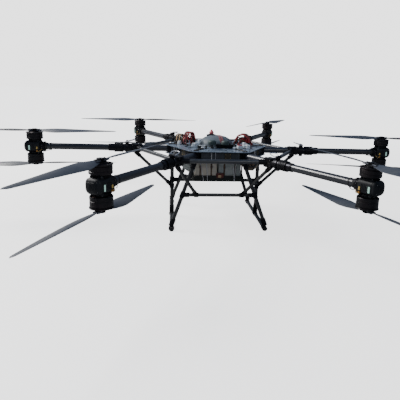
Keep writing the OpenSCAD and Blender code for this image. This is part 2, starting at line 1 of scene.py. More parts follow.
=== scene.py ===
import json
import random
from math import atan2, cos, degrees, pi, radians, sin, sqrt

import bmesh
import bpy
from mathutils import Matrix, Vector


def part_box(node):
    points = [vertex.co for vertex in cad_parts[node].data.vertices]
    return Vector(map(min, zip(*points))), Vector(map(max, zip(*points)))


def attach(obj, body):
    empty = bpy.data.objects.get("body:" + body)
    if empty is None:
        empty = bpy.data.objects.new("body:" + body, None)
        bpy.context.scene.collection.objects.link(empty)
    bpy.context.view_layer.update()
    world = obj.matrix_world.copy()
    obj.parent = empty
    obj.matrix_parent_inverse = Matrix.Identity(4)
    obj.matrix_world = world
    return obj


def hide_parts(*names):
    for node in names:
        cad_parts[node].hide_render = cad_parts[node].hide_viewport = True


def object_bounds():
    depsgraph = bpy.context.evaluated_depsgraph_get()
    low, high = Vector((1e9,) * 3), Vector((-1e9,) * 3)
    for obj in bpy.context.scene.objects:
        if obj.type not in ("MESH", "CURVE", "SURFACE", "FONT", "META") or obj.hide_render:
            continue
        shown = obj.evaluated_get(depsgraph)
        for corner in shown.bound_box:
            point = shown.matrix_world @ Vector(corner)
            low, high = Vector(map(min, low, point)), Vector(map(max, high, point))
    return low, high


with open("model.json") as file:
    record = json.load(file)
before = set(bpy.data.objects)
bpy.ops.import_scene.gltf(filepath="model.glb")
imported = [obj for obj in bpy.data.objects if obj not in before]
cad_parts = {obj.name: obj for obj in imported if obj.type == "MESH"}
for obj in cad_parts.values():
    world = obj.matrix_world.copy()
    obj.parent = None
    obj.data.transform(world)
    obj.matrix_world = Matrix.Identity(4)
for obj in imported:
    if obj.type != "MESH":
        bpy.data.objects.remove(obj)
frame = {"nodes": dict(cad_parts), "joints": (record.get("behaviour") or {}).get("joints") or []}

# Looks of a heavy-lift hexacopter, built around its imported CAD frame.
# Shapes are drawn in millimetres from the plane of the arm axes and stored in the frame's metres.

MM = 0.001
CAD_LOW, CAD_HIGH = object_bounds()
JOINTS = {j["name"]: j for j in frame["joints"]}

ARMS = ("right", "rear_right", "rear_left", "left", "front_left", "front_right")
ARM_STEP = 60
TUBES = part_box("inner_arm_tubes")
LIFT = Vector((0, 0, (TUBES[0].z + TUBES[1].z) / 2))    # the frame's origin up to the plane of the arm axes


def box(node):
    """Corners of a node's box in millimetres, measured from the plane of the arm axes."""
    low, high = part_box(node)
    return (low - LIFT) / MM, (high - LIFT) / MM


REACH = JOINTS["spin_top_right"]["pos_m"][0] / MM       # hub centre to motor axis
# arm axis to the mid-plane of each propeller
PROP_Z = {level: abs(JOINTS[f"spin_{level}_right"]["pos_m"][2] - LIFT.z) / MM for level in ("top", "bottom")}
FOLD_R = JOINTS["fold_right"]["pos_m"][0] / MM          # hub centre to fold hinge
FOLD_Z = (JOINTS["fold_right"]["pos_m"][2] - LIFT.z) / MM
PLATE_TOP = box("top_plate")[1].z
PLATE_LOW = box("bottom_plate")[0].z
TUBE_R = 25
BARREL_END = box("lock_sleeve_right")[1].x + 40


# ---- Placing ----

def shift(x=0, y=0, z=0):
    return Matrix.Translation((x, y, z))


def spin(turn, axis="Z"):
    """A turn in degrees."""
    return Matrix.Rotation(radians(turn), 4, axis)


def arm_place(k):
    return spin(ARM_STEP * k)


def pod_place(k):
    """Origin on the motor axis at arm height, +X outboard."""
    return arm_place(k) @ shift(REACH)


def around(place, count, start=0):
    """Copies of a place turned round its Z, the first by start degrees."""
    return [place @ spin(start + 360 / count * i) for i in range(count)]


def show(name, data):
    """Puts a new object in the scene."""
    made = bpy.data.objects.new(name, data)
    bpy.context.scene.collection.objects.link(made)
    return made


FLIP = Matrix.Diagonal((1, 1, -1, 1))


# ---- Shapes ----

def circle(r, z=0, n=32):
    return [(r * cos(2 * pi * i / n), r * sin(2 * pi * i / n), z) for i in range(n)]


def hexagon(r, z, n=24):
    """A hexagon with as many points as a circle, so the two can be joined."""
    ring = []
    for i in range(n):
        turn = 2 * pi * i / n
        reach = r * cos(pi / 6) / cos(turn % (pi / 3) - pi / 6)
        ring.append((reach * cos(turn), reach * sin(turn), z))
    return ring


def rounded_rect(w, d, r, z=0, steps=5):
    """Outline of a rectangle with round corners."""
    r = max(min(r, w / 2 - 0.01, d / 2 - 0.01), 0.01)
    ring = []
    for corner, (sx, sy) in enumerate(((1, 1), (-1, 1), (-1, -1), (1, -1))):
        for i in range(steps + 1):
            turn = pi / 2 * (corner + i / steps)
            ring.append((sx * (w / 2 - r) + r * cos(turn), sy * (d / 2 - r) + r * sin(turn), z))
    return ring


def smooth_path(points, steps=6):
    """A soft curve through the points (Catmull-Rom)."""
    p = [Vector(q) for q in points]
    p = [2 * p[0] - p[1]] + p + [2 * p[-1] - p[-2]]
    path = []
    for i in range(1, len(p) - 2):
        for s in range(steps):
            t = s / steps
            path.append(0.5 * (2 * p[i] + (p[i + 1] - p[i - 1]) * t
                               + (2 * p[i - 1] - 5 * p[i] + 4 * p[i + 1] - p[i + 2]) * t ** 2
                               + (3 * p[i] - p[i - 1] - 3 * p[i + 1] + p[i + 2]) * t ** 3))
    return path + [p[-2]]


class Shape:
    """Gathers closed solids in millimetres, then becomes one object."""

    def __init__(self):
        self.verts = []
        self.faces = []
        self.paints = []

    def loft(self, rings, paint=0, place=Matrix(), closed=False):
        """Skins rings of equal length. An open run gets flat ends, a closed one joins up."""
        base = len(self.verts)
        n = len(rings[0])
        for ring in rings:
            self.verts += [place @ Vector(v) for v in ring]
        spans = len(rings) if closed else len(rings) - 1
        count = len(self.faces)
        for a in range(spans):
            b = (a + 1) % len(rings)
            for i in range(n):
                j = (i + 1) % n
                self.faces.append((base + a * n + i, base + a * n + j, base + b * n + j, base + b * n + i))
        if not closed:
            self.faces.append(tuple(base + i for i in reversed(range(n))))
            self.faces.append(tuple(base + (len(rings) - 1) * n + i for i in range(n)))
        self.paints += [paint] * (len(self.faces) - count)

    def lathe(self, profile, paint=0, place=Matrix(), n=48, closed=False):
        """Turns (radius, height) points round Z. A closed profile makes a ring-shaped solid."""
        self.loft([circle(r, z, n) for r, z in profile], paint, place, closed)

    def disc(self, r, z0, z1, edge=0.8, paint=0, place=Matrix(), n=48):
        self.lathe([(r - edge, z0), (r, z0 + edge), (r, z1 - edge), (r - edge, z1)], paint, place, n)

    def ring(self, inner, outer, z0, z1, edge=0.6, paint=0, place=Matrix(), n=48):
        self.lathe([(inner, z0 + edge), (inner, z1 - edge), (inner + edge, z1), (outer - edge, z1),
                    (outer, z1 - edge), (outer, z0 + edge), (outer - edge, z0), (inner + edge, z0)],
                   paint, place, n, closed=True)

    def box(self, w, d, z0, z1, r=3, edge=1.5, paint=0, place=Matrix()):
        """A block with round corners and eased top and bottom edges."""
        rings = []
        for turn in (0, 30, 60, 90):
            inset = edge * (1 - sin(radians(turn)))
            rings.append(rounded_rect(w - 2 * inset, d - 2 * inset, r - inset,
                                      z0 + edge * (1 - cos(radians(turn)))))
        rings += [[(x, y, z0 + z1 - z) for x, y, z in ring] for ring in reversed(rings)]
        self.loft(rings, paint, place)

    def tube(self, path, r, paint=0, place=Matrix(), sides=10):
        """A round rod along a path of points."""
        path = [Vector(p) for p in path]
        side = None
        rings = []
        for i, point in enumerate(path):
            way = (path[min(i + 1, len(path) - 1)] - path[max(i - 1, 0)]).normalized()
            if side is None:
                side = way.orthogonal().normalized()
            side = (side - way * side.dot(way)).normalized()
            other = way.cross(side)
            rings.append([point + x * side + y * other for x, y, _ in circle(r, 0, sides)])
        self.loft(rings, paint, place)

    def strap(self, path, width, thick, across, paint=0, place=Matrix()):
        """A flat band along a path; across is the direction of its width."""
        path = [Vector(p) for p in path]
        across = Vector(across).normalized()
        rings = []
        for i, point in enumerate(path):
            way = (path[min(i + 1, len(path) - 1)] - path[max(i - 1, 0)]).normalized()
            up = across.cross(way).normalized()
            rings.append([point + a * across * width / 2 + b * up * thick / 2
                          for a, b in ((1, 0.6), (0.96, 1), (-0.96, 1), (-1, 0.6),
                                       (-1, -0.6), (-0.96, -1), (0.96, -1), (1, -0.6))])
        self.loft(rings, paint, place)

    def band(self, w, d, r, thick, width, paint=0, place=Matrix()):
        """A closed flat band round a rounded w x d block in XY, its width along Z."""
        inner = rounded_rect(w, d, r)
        outer = rounded_rect(w + 2 * thick, d + 2 * thick, r + thick)
        rings = []
        for (xi, yi, _), (xo, yo, _) in zip(inner, outer):
            rings.append([(xi, yi, -width / 2), (xo, yo, -width / 2 + 0.3), (xo, yo, width / 2 - 0.3),
                          (xi, yi, width / 2)])
        self.loft(rings, paint, place, closed=True)

    def screw(self, place, d=8.5, h=5, paint=0):
        """A cap screw with a hexagon socket; its seat is at z = 0 and its top at z = h."""
        n = 24
        rings = [circle(d / 2, 0, n), circle(d / 2, h - 0.6, n), circle(d / 2 - 0.6, h, n),
                 hexagon(d * 0.3, h, n), hexagon(d * 0.3, h * 0.45, n)]
        self.loft(rings, paint, place)

    def screws(self, place, xs, ys, z, d, h, paint):
        """A screw at each x with each y."""
        for x in xs:
            for y in ys:
                self.screw(place @ shift(x, y, z), d, h, paint)

    def make(self, name, paints, replaces=(), body="airframe", crease=35):
        """Makes the piece. paints names its finishes in the order of the paint numbers."""
        mesh = bpy.data.meshes.new(name)
        mesh.from_pydata([v * MM + LIFT for v in self.verts], [], self.faces)
        for paint in paints.split():
            mesh.materials.append(getattr(Finishes, paint))
        mesh.polygons.foreach_set("material_index", self.paints)
        mesh.polygons.foreach_set("use_smooth", [True] * len(mesh.polygons))
        work = bmesh.new()
        work.from_mesh(mesh)
        bmesh.ops.recalc_face_normals(work, faces=work.faces)
        work.to_mesh(mesh)
        work.free()
        mesh.set_sharp_from_angle(angle=radians(crease))
        piece = show(name, mesh)
        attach(piece, body)
        if replaces:
            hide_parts(*replaces)


# ---- Materials ----

class Paint:
    """One node material, with short calls for the nodes that it needs. Colours are in thousandths."""

    def __init__(self, name, kind="materials", end="Principled BSDF"):
        self.mat = getattr(bpy.data, kind).new(name)
        self.mat.use_nodes = True
        self.tree = self.mat.node_tree
        self.surface = self.tree.nodes[end]
        spot = self.node("ShaderNodeTexCoord").outputs["Object"]
        self.place = self.node("ShaderNodeMapping", {"Vector": spot, "Location": -LIFT}).outputs[0]

    def node(self, kind, inputs=None, **settings):
        made = self.tree.nodes.new(kind)
        for key, value in settings.items():
            setattr(made, key, value)
        for key, value in (inputs or {}).items():
            self.feed(made.inputs[key], value)
        return made

    def feed(self, socket, value):
        if isinstance(value, bpy.types.NodeSocket):
            self.tree.links.new(value, socket)
        elif socket.type == "RGBA" and len(value) == 3:
            socket.default_value = (*[c / 1000 for c in value], 1)
        else:
            socket.default_value = value

    def math(self, operation, a, b=0.0):
        return self.node("ShaderNodeMath", {0: a, 1: b}, operation=operation).outputs[0]

    def times(self, a, b):
        return self.math("MULTIPLY", a, b)

    def plus(self, a, b):
        return self.math("ADD", a, b)

    def wave(self, value, period_mm):
        return self.math("SINE", self.times(value, 2 * pi / (period_mm * MM)))

    def mix(self, share, a, b):
        return self.node("ShaderNodeMix", {0: share, 6: a, 7: b}, data_type="RGBA").outputs[2]

    def spread(self, value, low, high, to_low=0.0, to_high=1.0):
        """Maps low..high to to_low..to_high, held at the ends."""
        return self.node("ShaderNodeMapRange", {0: value, 1: low, 2: high, 3: to_low, 4: to_high}).outputs[0]

    def noise(self, scale, detail=3.0, rough=0.55, place=None):
        """Cloudy 0..1 pattern; scale is in cycles a metre."""
        return self.node("ShaderNodeTexNoise", {"Vector": place or self.place, "Scale": scale,
                                                "Detail": detail, "Roughness": rough}).outputs[0]

    def patchy(self, scale, detail, low, high):
        """Cloudy pattern from low to high."""
        return self.spread(self.noise(scale, detail), 0.3, 0.7, low, high)

    def stretched(self, x, y, z):
        return self.node("ShaderNodeMapping", {"Vector": self.place, "Scale": (x, y, z)}).outputs[0]

    def split(self, place=None):
        return self.node("ShaderNodeSeparateXYZ", {0: place or self.place}).outputs

    def turned(self, turn):
        """The place, with the arm at this angle in degrees laid along +X."""
        return self.node("ShaderNodeVectorRotate", {"Vector": self.place, "Angle": -radians(turn)},
                         rotation_type="Z_AXIS").outputs[0]

    def edges(self, size_mm):
        """1 near a sharp edge, 0 on flat metal."""
        soft = self.node("ShaderNodeBevel", {"Radius": size_mm * MM}, samples=3).outputs[0]
        hard = self.node("ShaderNodeNewGeometry").outputs["Normal"]
        dot = self.node("ShaderNodeVectorMath", {0: soft, 1: hard}, operation="DOT_PRODUCT").outputs["Value"]
        return self.spread(dot, 0.995, 0.85)

    def bump(self, height, depth_mm, strength=1.0):
        inputs = {"Height": height, "Distance": depth_mm * MM, "Strength": strength}
        self.set(Normal=self.node("ShaderNodeBump", inputs).outputs[0])

    def set(self, **inputs):
        for key, value in inputs.items():
            self.feed(self.surface.inputs[key.replace("_", " ")], value)
        return self.mat


def twill(p, u, v, tow_mm):
    """A 2x2 twill weave over the lengths u and v: which tow is on top, and its height."""
    a = p.math("DIVIDE", u, tow_mm * MM)
    b = p.math("DIVIDE", v, tow_mm * MM)
    step = p.math("FLOORED_MODULO", p.plus(p.math("FLOOR", a), p.math("FLOOR", b)), 4.0)
    over = p.math("LESS_THAN", step, 1.5)
    ridge_a = p.math("ABSOLUTE", p.math("SINE", p.times(a, pi)))
    ridge_b = p.math("ABSOLUTE", p.math("SINE", p.times(b, pi)))
    return over, p.plus(p.times(ridge_a, over), p.times(ridge_b, p.math("SUBTRACT", 1.0, over)))


def dust(p, amount):
    """Uneven dust, more on faces that look up."""
    up = p.split(p.node("ShaderNodeNewGeometry").outputs["Normal"])[2]
    patch = p.spread(p.noise(9, 6, 0.65), 0.42, 0.72)
    return p.times(p.times(patch, p.spread(up, -0.2, 1.0)), amount)


TOW = 2.5           # width of a carbon tow in the weave
DUST = (200, 190, 175)
WHITE = (1000, 1000, 1000)
BACKDROP = 2.6      # brightness of the backdrop as the camera sees it
FLOOR_LIFT = 2.0    # the same for the floor below the machine


def carbon_finish(p, over, height, dark, light, rough, dusty):
    tone = p.mix(p.noise(35, 2), dark, light)
    woven = p.mix(p.times(over, 0.5), tone, [1.9 * c for c in light])
    streak = p.spread(p.noise(14, 4), 0.35, 0.7, rough, rough + 0.12)
    p.bump(height, 0.03, 0.05)
    return p.set(Base_Color=p.mix(dust(p, dusty), woven, DUST), Roughness=streak,
                 Coat_Weight=0.5, Coat_Roughness=0.26, Specular_IOR_Level=0.5)


def flat_carbon(name, dark, light, rough=0.3, dusty=0.2):
    """Woven carbon plate."""
    p = Paint(name)
    x, y, _ = p.split()
    over, height = twill(p, x, y, TOW)
    return carbon_finish(p, over, height, dark, light, rough, dusty)


def wrapped_carbon(name, dark, light, rough=0.34, dusty=0.12):
    """Spiral-wrapped carbon for tubes that run any way."""
    p = Paint(name)
    x, y, z = p.split()
    over, height = twill(p, p.plus(x, z), p.plus(y, z), TOW)
    return carbon_finish(p, over, height, dark, light, rough, dusty)


def anodised(name, dark, light, rough=0.36, wear=0.5, metal=0.75):
    """Anodised aluminium: fine blasted grain, pale worn edges."""
    p = Paint(name)
    tone = p.mix(p.noise(60, 3), dark, light)
    worn = p.times(p.edges(0.9), p.spread(p.noise(90, 4), 0.35, 0.65, 0.0, wear))
    p.bump(p.noise(2600, 2), 0.05, 0.35)
    return p.set(Base_Color=p.mix(worn, tone, (420, 420, 430)), Metallic=metal,
                 Roughness=p.patchy(25, 4, rough, rough + 0.14))


def moulded(name, dark, light, rough=0.5, wear=0.2, dusty=0.2, grain=1400):
    """Moulded plastic with a fine grain."""
    p = Paint(name)
    tone = p.mix(p.noise(30, 3), dark, light)
    worn = p.times(p.edges(0.8), wear)
    tone = p.mix(worn, tone, [3 * c + 40 for c in light])
    p.bump(p.noise(grain, 2), 0.08, 0.4)
    return p.set(Base_Color=p.mix(dust(p, dusty), tone, DUST), Specular_IOR_Level=0.32,
                 Roughness=p.patchy(18, 4, rough, rough + 0.15))


def bright_metal(name, tone, rough=0.28, metal=1.0):
    p = Paint(name)
    brushed = p.noise(900, 2, 0.5, p.stretched(1, 1, 0.05))
    stain = p.noise(120, 3)
    p.bump(brushed, 0.03, 0.4)
    return p.set(Base_Color=p.mix(p.spread(stain, 0.45, 0.7), tone, [0.6 * c for c in tone]), Metallic=metal,
                 Roughness=p.spread(stain, 0.3, 0.7, rough, rough + 0.2))


def soft_rubber(name, tone, rough=0.75):
    p = Paint(name)
    p.bump(p.noise(700, 4), 0.15, 0.5)
    return p.set(Base_Color=p.mix(p.noise(50, 3), tone, [1.8 * c + 10 for c in tone]),
                 Roughness=p.patchy(80, 3, rough, 0.95))


def insulation(name, tone):
    """Soft silicone cable, a little dusty and creased."""
    p = Paint(name)
    p.bump(p.noise(380, 3), 0.25, 0.35)
    dusty = p.spread(p.noise(70, 4), 0.45, 0.75, 0.0, 0.35)
    return p.set(Base_Color=p.mix(dusty, tone, [0.7 * c + 80 for c in tone]),
                 Roughness=p.patchy(45, 2, 0.38, 0.6))


def shrink_wrap(name, dark, light):
    """Heat-shrunk film over battery cells: shallow wrinkles and a soft shine."""
    p = Paint(name)
    creases = p.noise(26, 5, 0.6, p.stretched(1, 1, 3.2))
    cells = p.math("ABSOLUTE", p.math("SINE", p.times(p.split()[2], pi / 0.021)))
    height = p.plus(creases, p.times(cells, 0.35))
    p.bump(height, 1.6, 0.5)
    return p.set(Base_Color=p.mix(creases, dark, light), Coat_Weight=0.3, Coat_Roughness=0.3,
                 Roughness=p.spread(creases, 0.35, 0.65, 0.38, 0.6))


def webbing(name, dark, light):
    """Woven strap."""
    p = Paint(name)
    x, y, z = p.split()
    over, height = twill(p, p.plus(x, z), p.plus(y, z), 1.2)
    p.bump(height, 0.3, 0.6)
    fuzz = p.mix(over, dark, light)
    return p.set(Base_Color=p.mix(dust(p, 0.2), fuzz, DUST), Roughness=0.85, Sheen_Weight=0.3)


def bell_paint(name):
    """Satin black motor bell, turned in fine rings, with a brown cast where it runs hot."""
    p = Paint(name)
    x, y, z = p.split()
    rings = p.wave(z, 1.2)
    warm = p.spread(p.noise(11, 3), 0.4, 0.7, 0.0, 0.55)
    tone = p.mix(warm, (10, 10, 12), (34, 19, 20))
    worn = p.times(p.edges(0.7), 0.2)
    p.bump(p.plus(rings, p.noise(900, 2)), 0.04, 0.4)
    return p.set(Base_Color=p.mix(worn, tone, (200, 190, 190)), Metallic=0.55,
                 Roughness=p.patchy(22, 4, 0.3, 0.46))


def blade_carbon(name):
    """Pressed carbon blade: slate skin, lengthwise fibres, paler scuffs."""
    p = Paint(name)
    fibre = p.noise(420, 3, 0.6, p.stretched(1, 1, 0.3))
    cloud = p.noise(6, 3)
    tone = p.mix(cloud, (26, 32, 46), (50, 58, 78))
    tone = p.mix(p.spread(fibre, 0.4, 0.75, 0.0, 0.25), tone, (100, 110, 130))
    p.bump(fibre, 0.06, 0.35)
    return p.set(Base_Color=p.mix(dust(p, 0.22), tone, DUST), Coat_Weight=0.35, Coat_Roughness=0.3,
                 Roughness=p.spread(cloud, 0.3, 0.7, 0.38, 0.52))


def windings(name):
    """Enamelled copper wire."""
    p = Paint(name)
    strands = p.wave(p.split()[2], 1.6)
    p.bump(strands, 0.5, 0.6)
    return p.set(Base_Color=p.mix(p.noise(140, 3), (35, 16, 10), (75, 32, 16)), Metallic=0.6,
                 Roughness=p.patchy(60, 2, 0.3, 0.5))


def light_lens(name, glow, power):
    """Ribbed lens over a row of small lamps."""
    p = Paint(name)
    ribs = p.wave(p.split()[2], 3)
    p.bump(ribs, 0.3, 0.5)
    lit = p.mix(p.spread(ribs, -1.0, 1.0, 0.0, 0.5), glow, [0.72 * c for c in glow])
    return p.set(Base_Color=lit, Roughness=p.patchy(50, 2, 0.18, 0.3),
                 Emission_Color=lit, Emission_Strength=power, Coat_Weight=0.4)


def floor_paint(name):
    """Pale floor. To the camera it lifts towards white with distance, so that it meets the backdrop."""
    p = Paint(name)
    tone = p.mix(p.noise(1.1, 4), (340, 340, 340), (380, 380, 380))
    p.bump(p.noise(160, 3), 0.2, 0.2)
    x, y, _ = p.split()
    away = p.math("SQRT", p.plus(p.times(x, x), p.times(y, y)))
    lift = p.spread(away, 1.5, 9.0, FLOOR_LIFT, BACKDROP)
    seen = p.node("ShaderNodeLightPath").outputs["Is Camera Ray"]
    return p.set(Base_Color=tone, Roughness=p.patchy(2.0, 3, 0.6, 0.75),
                 Emission_Color=WHITE, Emission_Strength=p.times(lift, seen))


class Finishes:
    """Every material, made once."""

    # The plates' pale blue colour is painted reflection: the sky's sheen on glossy carbon, laid into the base
    # colour.
    plate = flat_carbon("carbon_plate", (90, 122, 170), (130, 168, 220), 0.22, 0.22)
    panel = flat_carbon("carbon_panel", (8, 12, 18), (16, 22, 30), 0.36, 0.2)
    legs = wrapped_carbon("carbon_legs", (3, 3, 4), (7, 7, 8), 0.4, 0.06)
    ring = wrapped_carbon("carbon_ring", (9, 11, 14), (19, 22, 28), 0.28, 0.12)
    black = anodised("black_anodised", (6, 6, 8), (13, 13, 16), 0.4, 0.3)
    grey = anodised("grey_anodised", (100, 100, 105), (200, 200, 210), 0.3, 0.6)
    silver = bright_metal("bare_aluminium", (720, 720, 740), 0.3)
    steel = bright_metal("dark_steel", (160, 160, 170), 0.3)
    brass = bright_metal("brass", (340, 260, 140), 0.34)
    orange = anodised("orange_anodised", (420, 170, 30), (550, 270, 60), 0.32, 0.3, 0.4)
    pod = moulded("black_moulding", (5, 6, 8), (10, 11, 14), 0.48, 0.1, 0.01)
    tray = moulded("tray_moulding", (6, 8, 8), (13, 16, 16), 0.5, 0.15, 0.12)
    cover = moulded("grey_moulding", (75, 95, 115), (125, 150, 170), 0.45, 0.1, 0.2, 900)
    receiver = moulded("teal_moulding", (30, 48, 48), (55, 80, 78), 0.45, 0.1, 0.2)
    nylon = moulded("pale_nylon", (500, 550, 600), (680, 720, 760), 0.42, 0.0, 0.1)
    plug_red = moulded("red_nylon", (220, 12, 20), (340, 20, 30), 0.42, 0.0, 0.1)
    plug_yellow = moulded("yellow_nylon", (550, 360, 80), (700, 500, 160), 0.4, 0.0, 0.08)
    rubber = soft_rubber("black_rubber", (12, 12, 12))
    bell = bell_paint("bell_paint")
    blade = blade_carbon("blade_carbon")
    copper = windings("copper_windings")
    lens = light_lens("light_lens", (500, 800, 680), 0.35)
    wire_red = insulation("wire_red", (300, 20, 25))
    wire_black = insulation("wire_black", (14, 14, 15))
    wire_tan = insulation("wire_tan", (520, 360, 200))
    wire_pink = insulation("wire_pink", (620, 160, 170))
    wrap_pale = shrink_wrap("wrap_pale", (460, 400, 310), (720, 670, 580))
    wrap_grey = shrink_wrap("wrap_grey", (240, 260, 250), (460, 480, 450))
    strap_black = webbing("strap_black", (8, 8, 8), (30, 30, 30))
    strap_brown = webbing("strap_brown", (55, 30, 18), (130, 80, 50))
    cloth = webbing("pouch_cloth", (340, 360, 330), (550, 570, 520))
    strap_red = webbing("strap_red", (100, 5, 13), (190, 13, 30))
    box_red = moulded("dark_red_box", (90, 18, 14), (150, 35, 28), 0.45, 0.0, 0.1)
    olive = moulded("olive_panel", (20, 18, 12), (40, 34, 22), 0.5, 0.0, 0.1)
    tape = moulded("brown_tape", (65, 38, 22), (115, 70, 42), 0.4, 0.0, 0.1)
    wire_olive = insulation("wire_olive", (240, 210, 150))


# ---- CAD nodes that stay, with better materials ----

def arm_finish(k):
    """Black anodised knuckle and barrel, woven tube further out, in one material."""
    p = Paint(f"folding_arm_{ARMS[k]}")
    x, y, z = p.split(p.turned(ARM_STEP * k))
    girth = p.times(p.math("ARCTAN2", z, y), TUBE_R * MM)
    over, height = twill(p, x, girth, TOW)
    metal = p.math("LESS_THAN", x, BARREL_END * MM)
    tube = p.mix(p.times(over, 0.5), (5, 6, 11), (14, 17, 28))
    block = p.mix(p.noise(60, 3), (6, 6, 9), (13, 13, 18))
    worn = p.times(p.edges(0.9), 0.3)
    tone = p.mix(metal, tube, p.mix(worn, block, (420, 420, 430)))
    p.bump(p.times(height, p.math("SUBTRACT", 1.0, metal)), 0.03, 0.06)
    return p.set(Base_Color=p.mix(dust(p, 0.05), tone, DUST), Metallic=p.times(metal, 0.75),
                 Coat_Weight=p.spread(metal, 0.0, 1.0, 0.6, 0.0), Coat_Roughness=0.3,
                 Roughness=p.spread(p.noise(16, 4), 0.35, 0.7, 0.3, 0.38))


def tube_set_finish():
    """One material for the six inner arm tubes: the weave follows whichever arm a point is on."""
    p = Paint("carbon_inner_arms")
    x, y, z = p.split()
    turn = p.math("ARCTAN2", y, x)
    arm = p.times(p.math("ROUND", p.math("DIVIDE", turn, radians(ARM_STEP))), radians(ARM_STEP))
    out = p.plus(p.times(x, p.math("COSINE", arm)), p.times(y, p.math("SINE", arm)))
    side = p.math("SUBTRACT", p.times(y, p.math("COSINE", arm)), p.times(x, p.math("SINE", arm)))
    girth = p.times(p.math("ARCTAN2", z, side), TUBE_R * MM)
    over, height = twill(p, out, girth, TOW)
    return carbon_finish(p, over, height, (5, 6, 10), (10, 12, 20), 0.36, 0.08)


def dress(finish, *nodes):
    for node in nodes:
        data = frame["nodes"][node].data
        data.materials.clear()
        data.materials.append(finish)


def dress_frame():
    # The plate finish carries a painted sky reflection in its pale blue base colour.
    dress(Finishes.plate, "top_plate", "bottom_plate")
    dress(Finishes.black, "arm_root_clamps", "fold_joint_blocks", "gear_clamps")
    dress(Finishes.legs, "skid_tubes", "gear_tubes", "brace_struts")
    dress(tube_set_finish(), "inner_arm_tubes")
    dress(Finishes.ring, "ring_tubes")
    dress(Finishes.steel, "plate_fasteners")
    dress(Finishes.silver, "hinge_pins")
    dress(Finishes.rubber, "skid_caps")
    dress(Finishes.tray, "battery_tray")
    for k, arm in enumerate(ARMS):
        dress(arm_finish(k), f"arm_{arm}")
        dress(Finishes.black, f"lock_sleeve_{arm}")


# ---- Propellers ----

PROP_R = 624
BLADE_ROOT = 40
BLADE_CHORD = 84


def blade_turn(node, k):
    """Angle in degrees at which a parked propeller points, from its CAD node."""
    axis = (arm_place(k) @ Vector((REACH, 0, 0))).xy * MM
    reach = [Vector(v.co[:2]) - axis for v in frame["nodes"][node].data.vertices]
    far = max(r.length for r in reach)
    tips = [r for r in reach if r.length > 0.999 * far]
    tip = sum((r for r in tips if r.dot(tips[0]) > 0), Vector((0, 0)))
    return degrees(atan2(tip.y, tip.x))


def blade_chord(t):
    """Chord along the blade: narrow root, broad at a quarter, slim rounded tip."""
    if t < 0.24:
        chord = 38 + (BLADE_CHORD - 38) * sin(pi / 2 * t / 0.24) ** 1.2
    else:
        chord = BLADE_CHORD * (1 - 0.72 * ((t - 0.24) / 0.76) ** 1.15)
    return chord * sqrt(max(1 - max(0, (t - 0.955) / 0.046) ** 2, 0.02))


def blade_section(t, hand):
    """Airfoil across the blade at share t of its length, leading edge towards +Y times hand."""
    chord = blade_chord(t)
    thick = 0.135 - 0.07 * t
    pitch = radians(19 - 11 * t ** 0.8)
    droop = -4 * t ** 2
    points = 14
    ring = []
    for i in range(2 * points):
        side = 1 if i < points else -1
        s = (1 - cos(pi * i / points)) / 2
        # thickness of a symmetrical wing section at share s of its chord
        half = 0.2969 * sqrt(s) - 0.126 * s - 0.3516 * s ** 2 + 0.2843 * s ** 3 - 0.1036 * s ** 4
        half *= 5 * thick
        z = chord * (0.16 * s * (1 - s) + side * max(half, 0.006))
        y = chord * (0.38 - s)
        ring.append((BLADE_ROOT + t * (PROP_R - BLADE_ROOT), hand * (y * cos(pitch) - z * sin(pitch)),
                     y * sin(pitch) + z * cos(pitch) + droop))
    return ring


def propeller(k, level):
    """A pair of blades clamped between two plates on the motor's adapter."""
    node = f"prop_{level}_{ARMS[k]}"
    top = level == "top"
    hand = (1 if top else -1) * (1 if k % 2 else -1)
    height = PROP_Z[level]
    stand = shift(*(arm_place(k) @ Vector((REACH, 0, 0)))) @ spin(blade_turn(node, k))
    hub = stand @ (Matrix() if top else FLIP) @ shift(z=height)
    sweep = stand @ shift(z=height if top else -height)
    shape = Shape()
    stations = [i / 34 for i in range(35)]
    for end in (0, 180):
        shape.loft([blade_section(t, hand) for t in stations], 0, sweep @ spin(end))
        # root block that the clamp plates hold
        root = [rounded_rect(w, h, 3.4) for w, h in ((26, 11), (30, 11), (38, 10), (40, 9))]
        rings = [[(x, a, b) for a, b, _ in ring] for ring, x in zip(root, (14, 24, 40, 52))]
        shape.loft(rings, 0, sweep @ spin(end))
    for z in (-7.6, 4.4):
        shape.box(92, 30, z, z + 3.2, 14.5, 1, 1, hub)
    shape.disc(20, 7.4, 12, 1.2, 1, hub)
    shape.disc(8, 12, 13.8, 0.6, 2, hub)
    shape.disc(13, -4.4, 4.4, 0.2, 1, hub)
    shape.screws(hub, (-38, -26, 26, 38), (0,), 7.6, 7, 3.6, 2)
    for turn in around(hub, 4, 45):
        shape.screw(turn @ shift(14.4, 0, 12), 4.6, 1.8, 2)
    shape.make(f"propeller_{level}_{ARMS[k]}", "blade black steel", [node],
               f"rotor_{level}_{ARMS[k]}", 40)


# ---- Motors and pods ----

BELL_R = 60
BELL_LOW = 58
RIM_R = 63.3
PROP_SEAT = 11.9    # above the bell's top
PAD_Z = 50


def bell_top(level):
    return PROP_Z[level] - 20


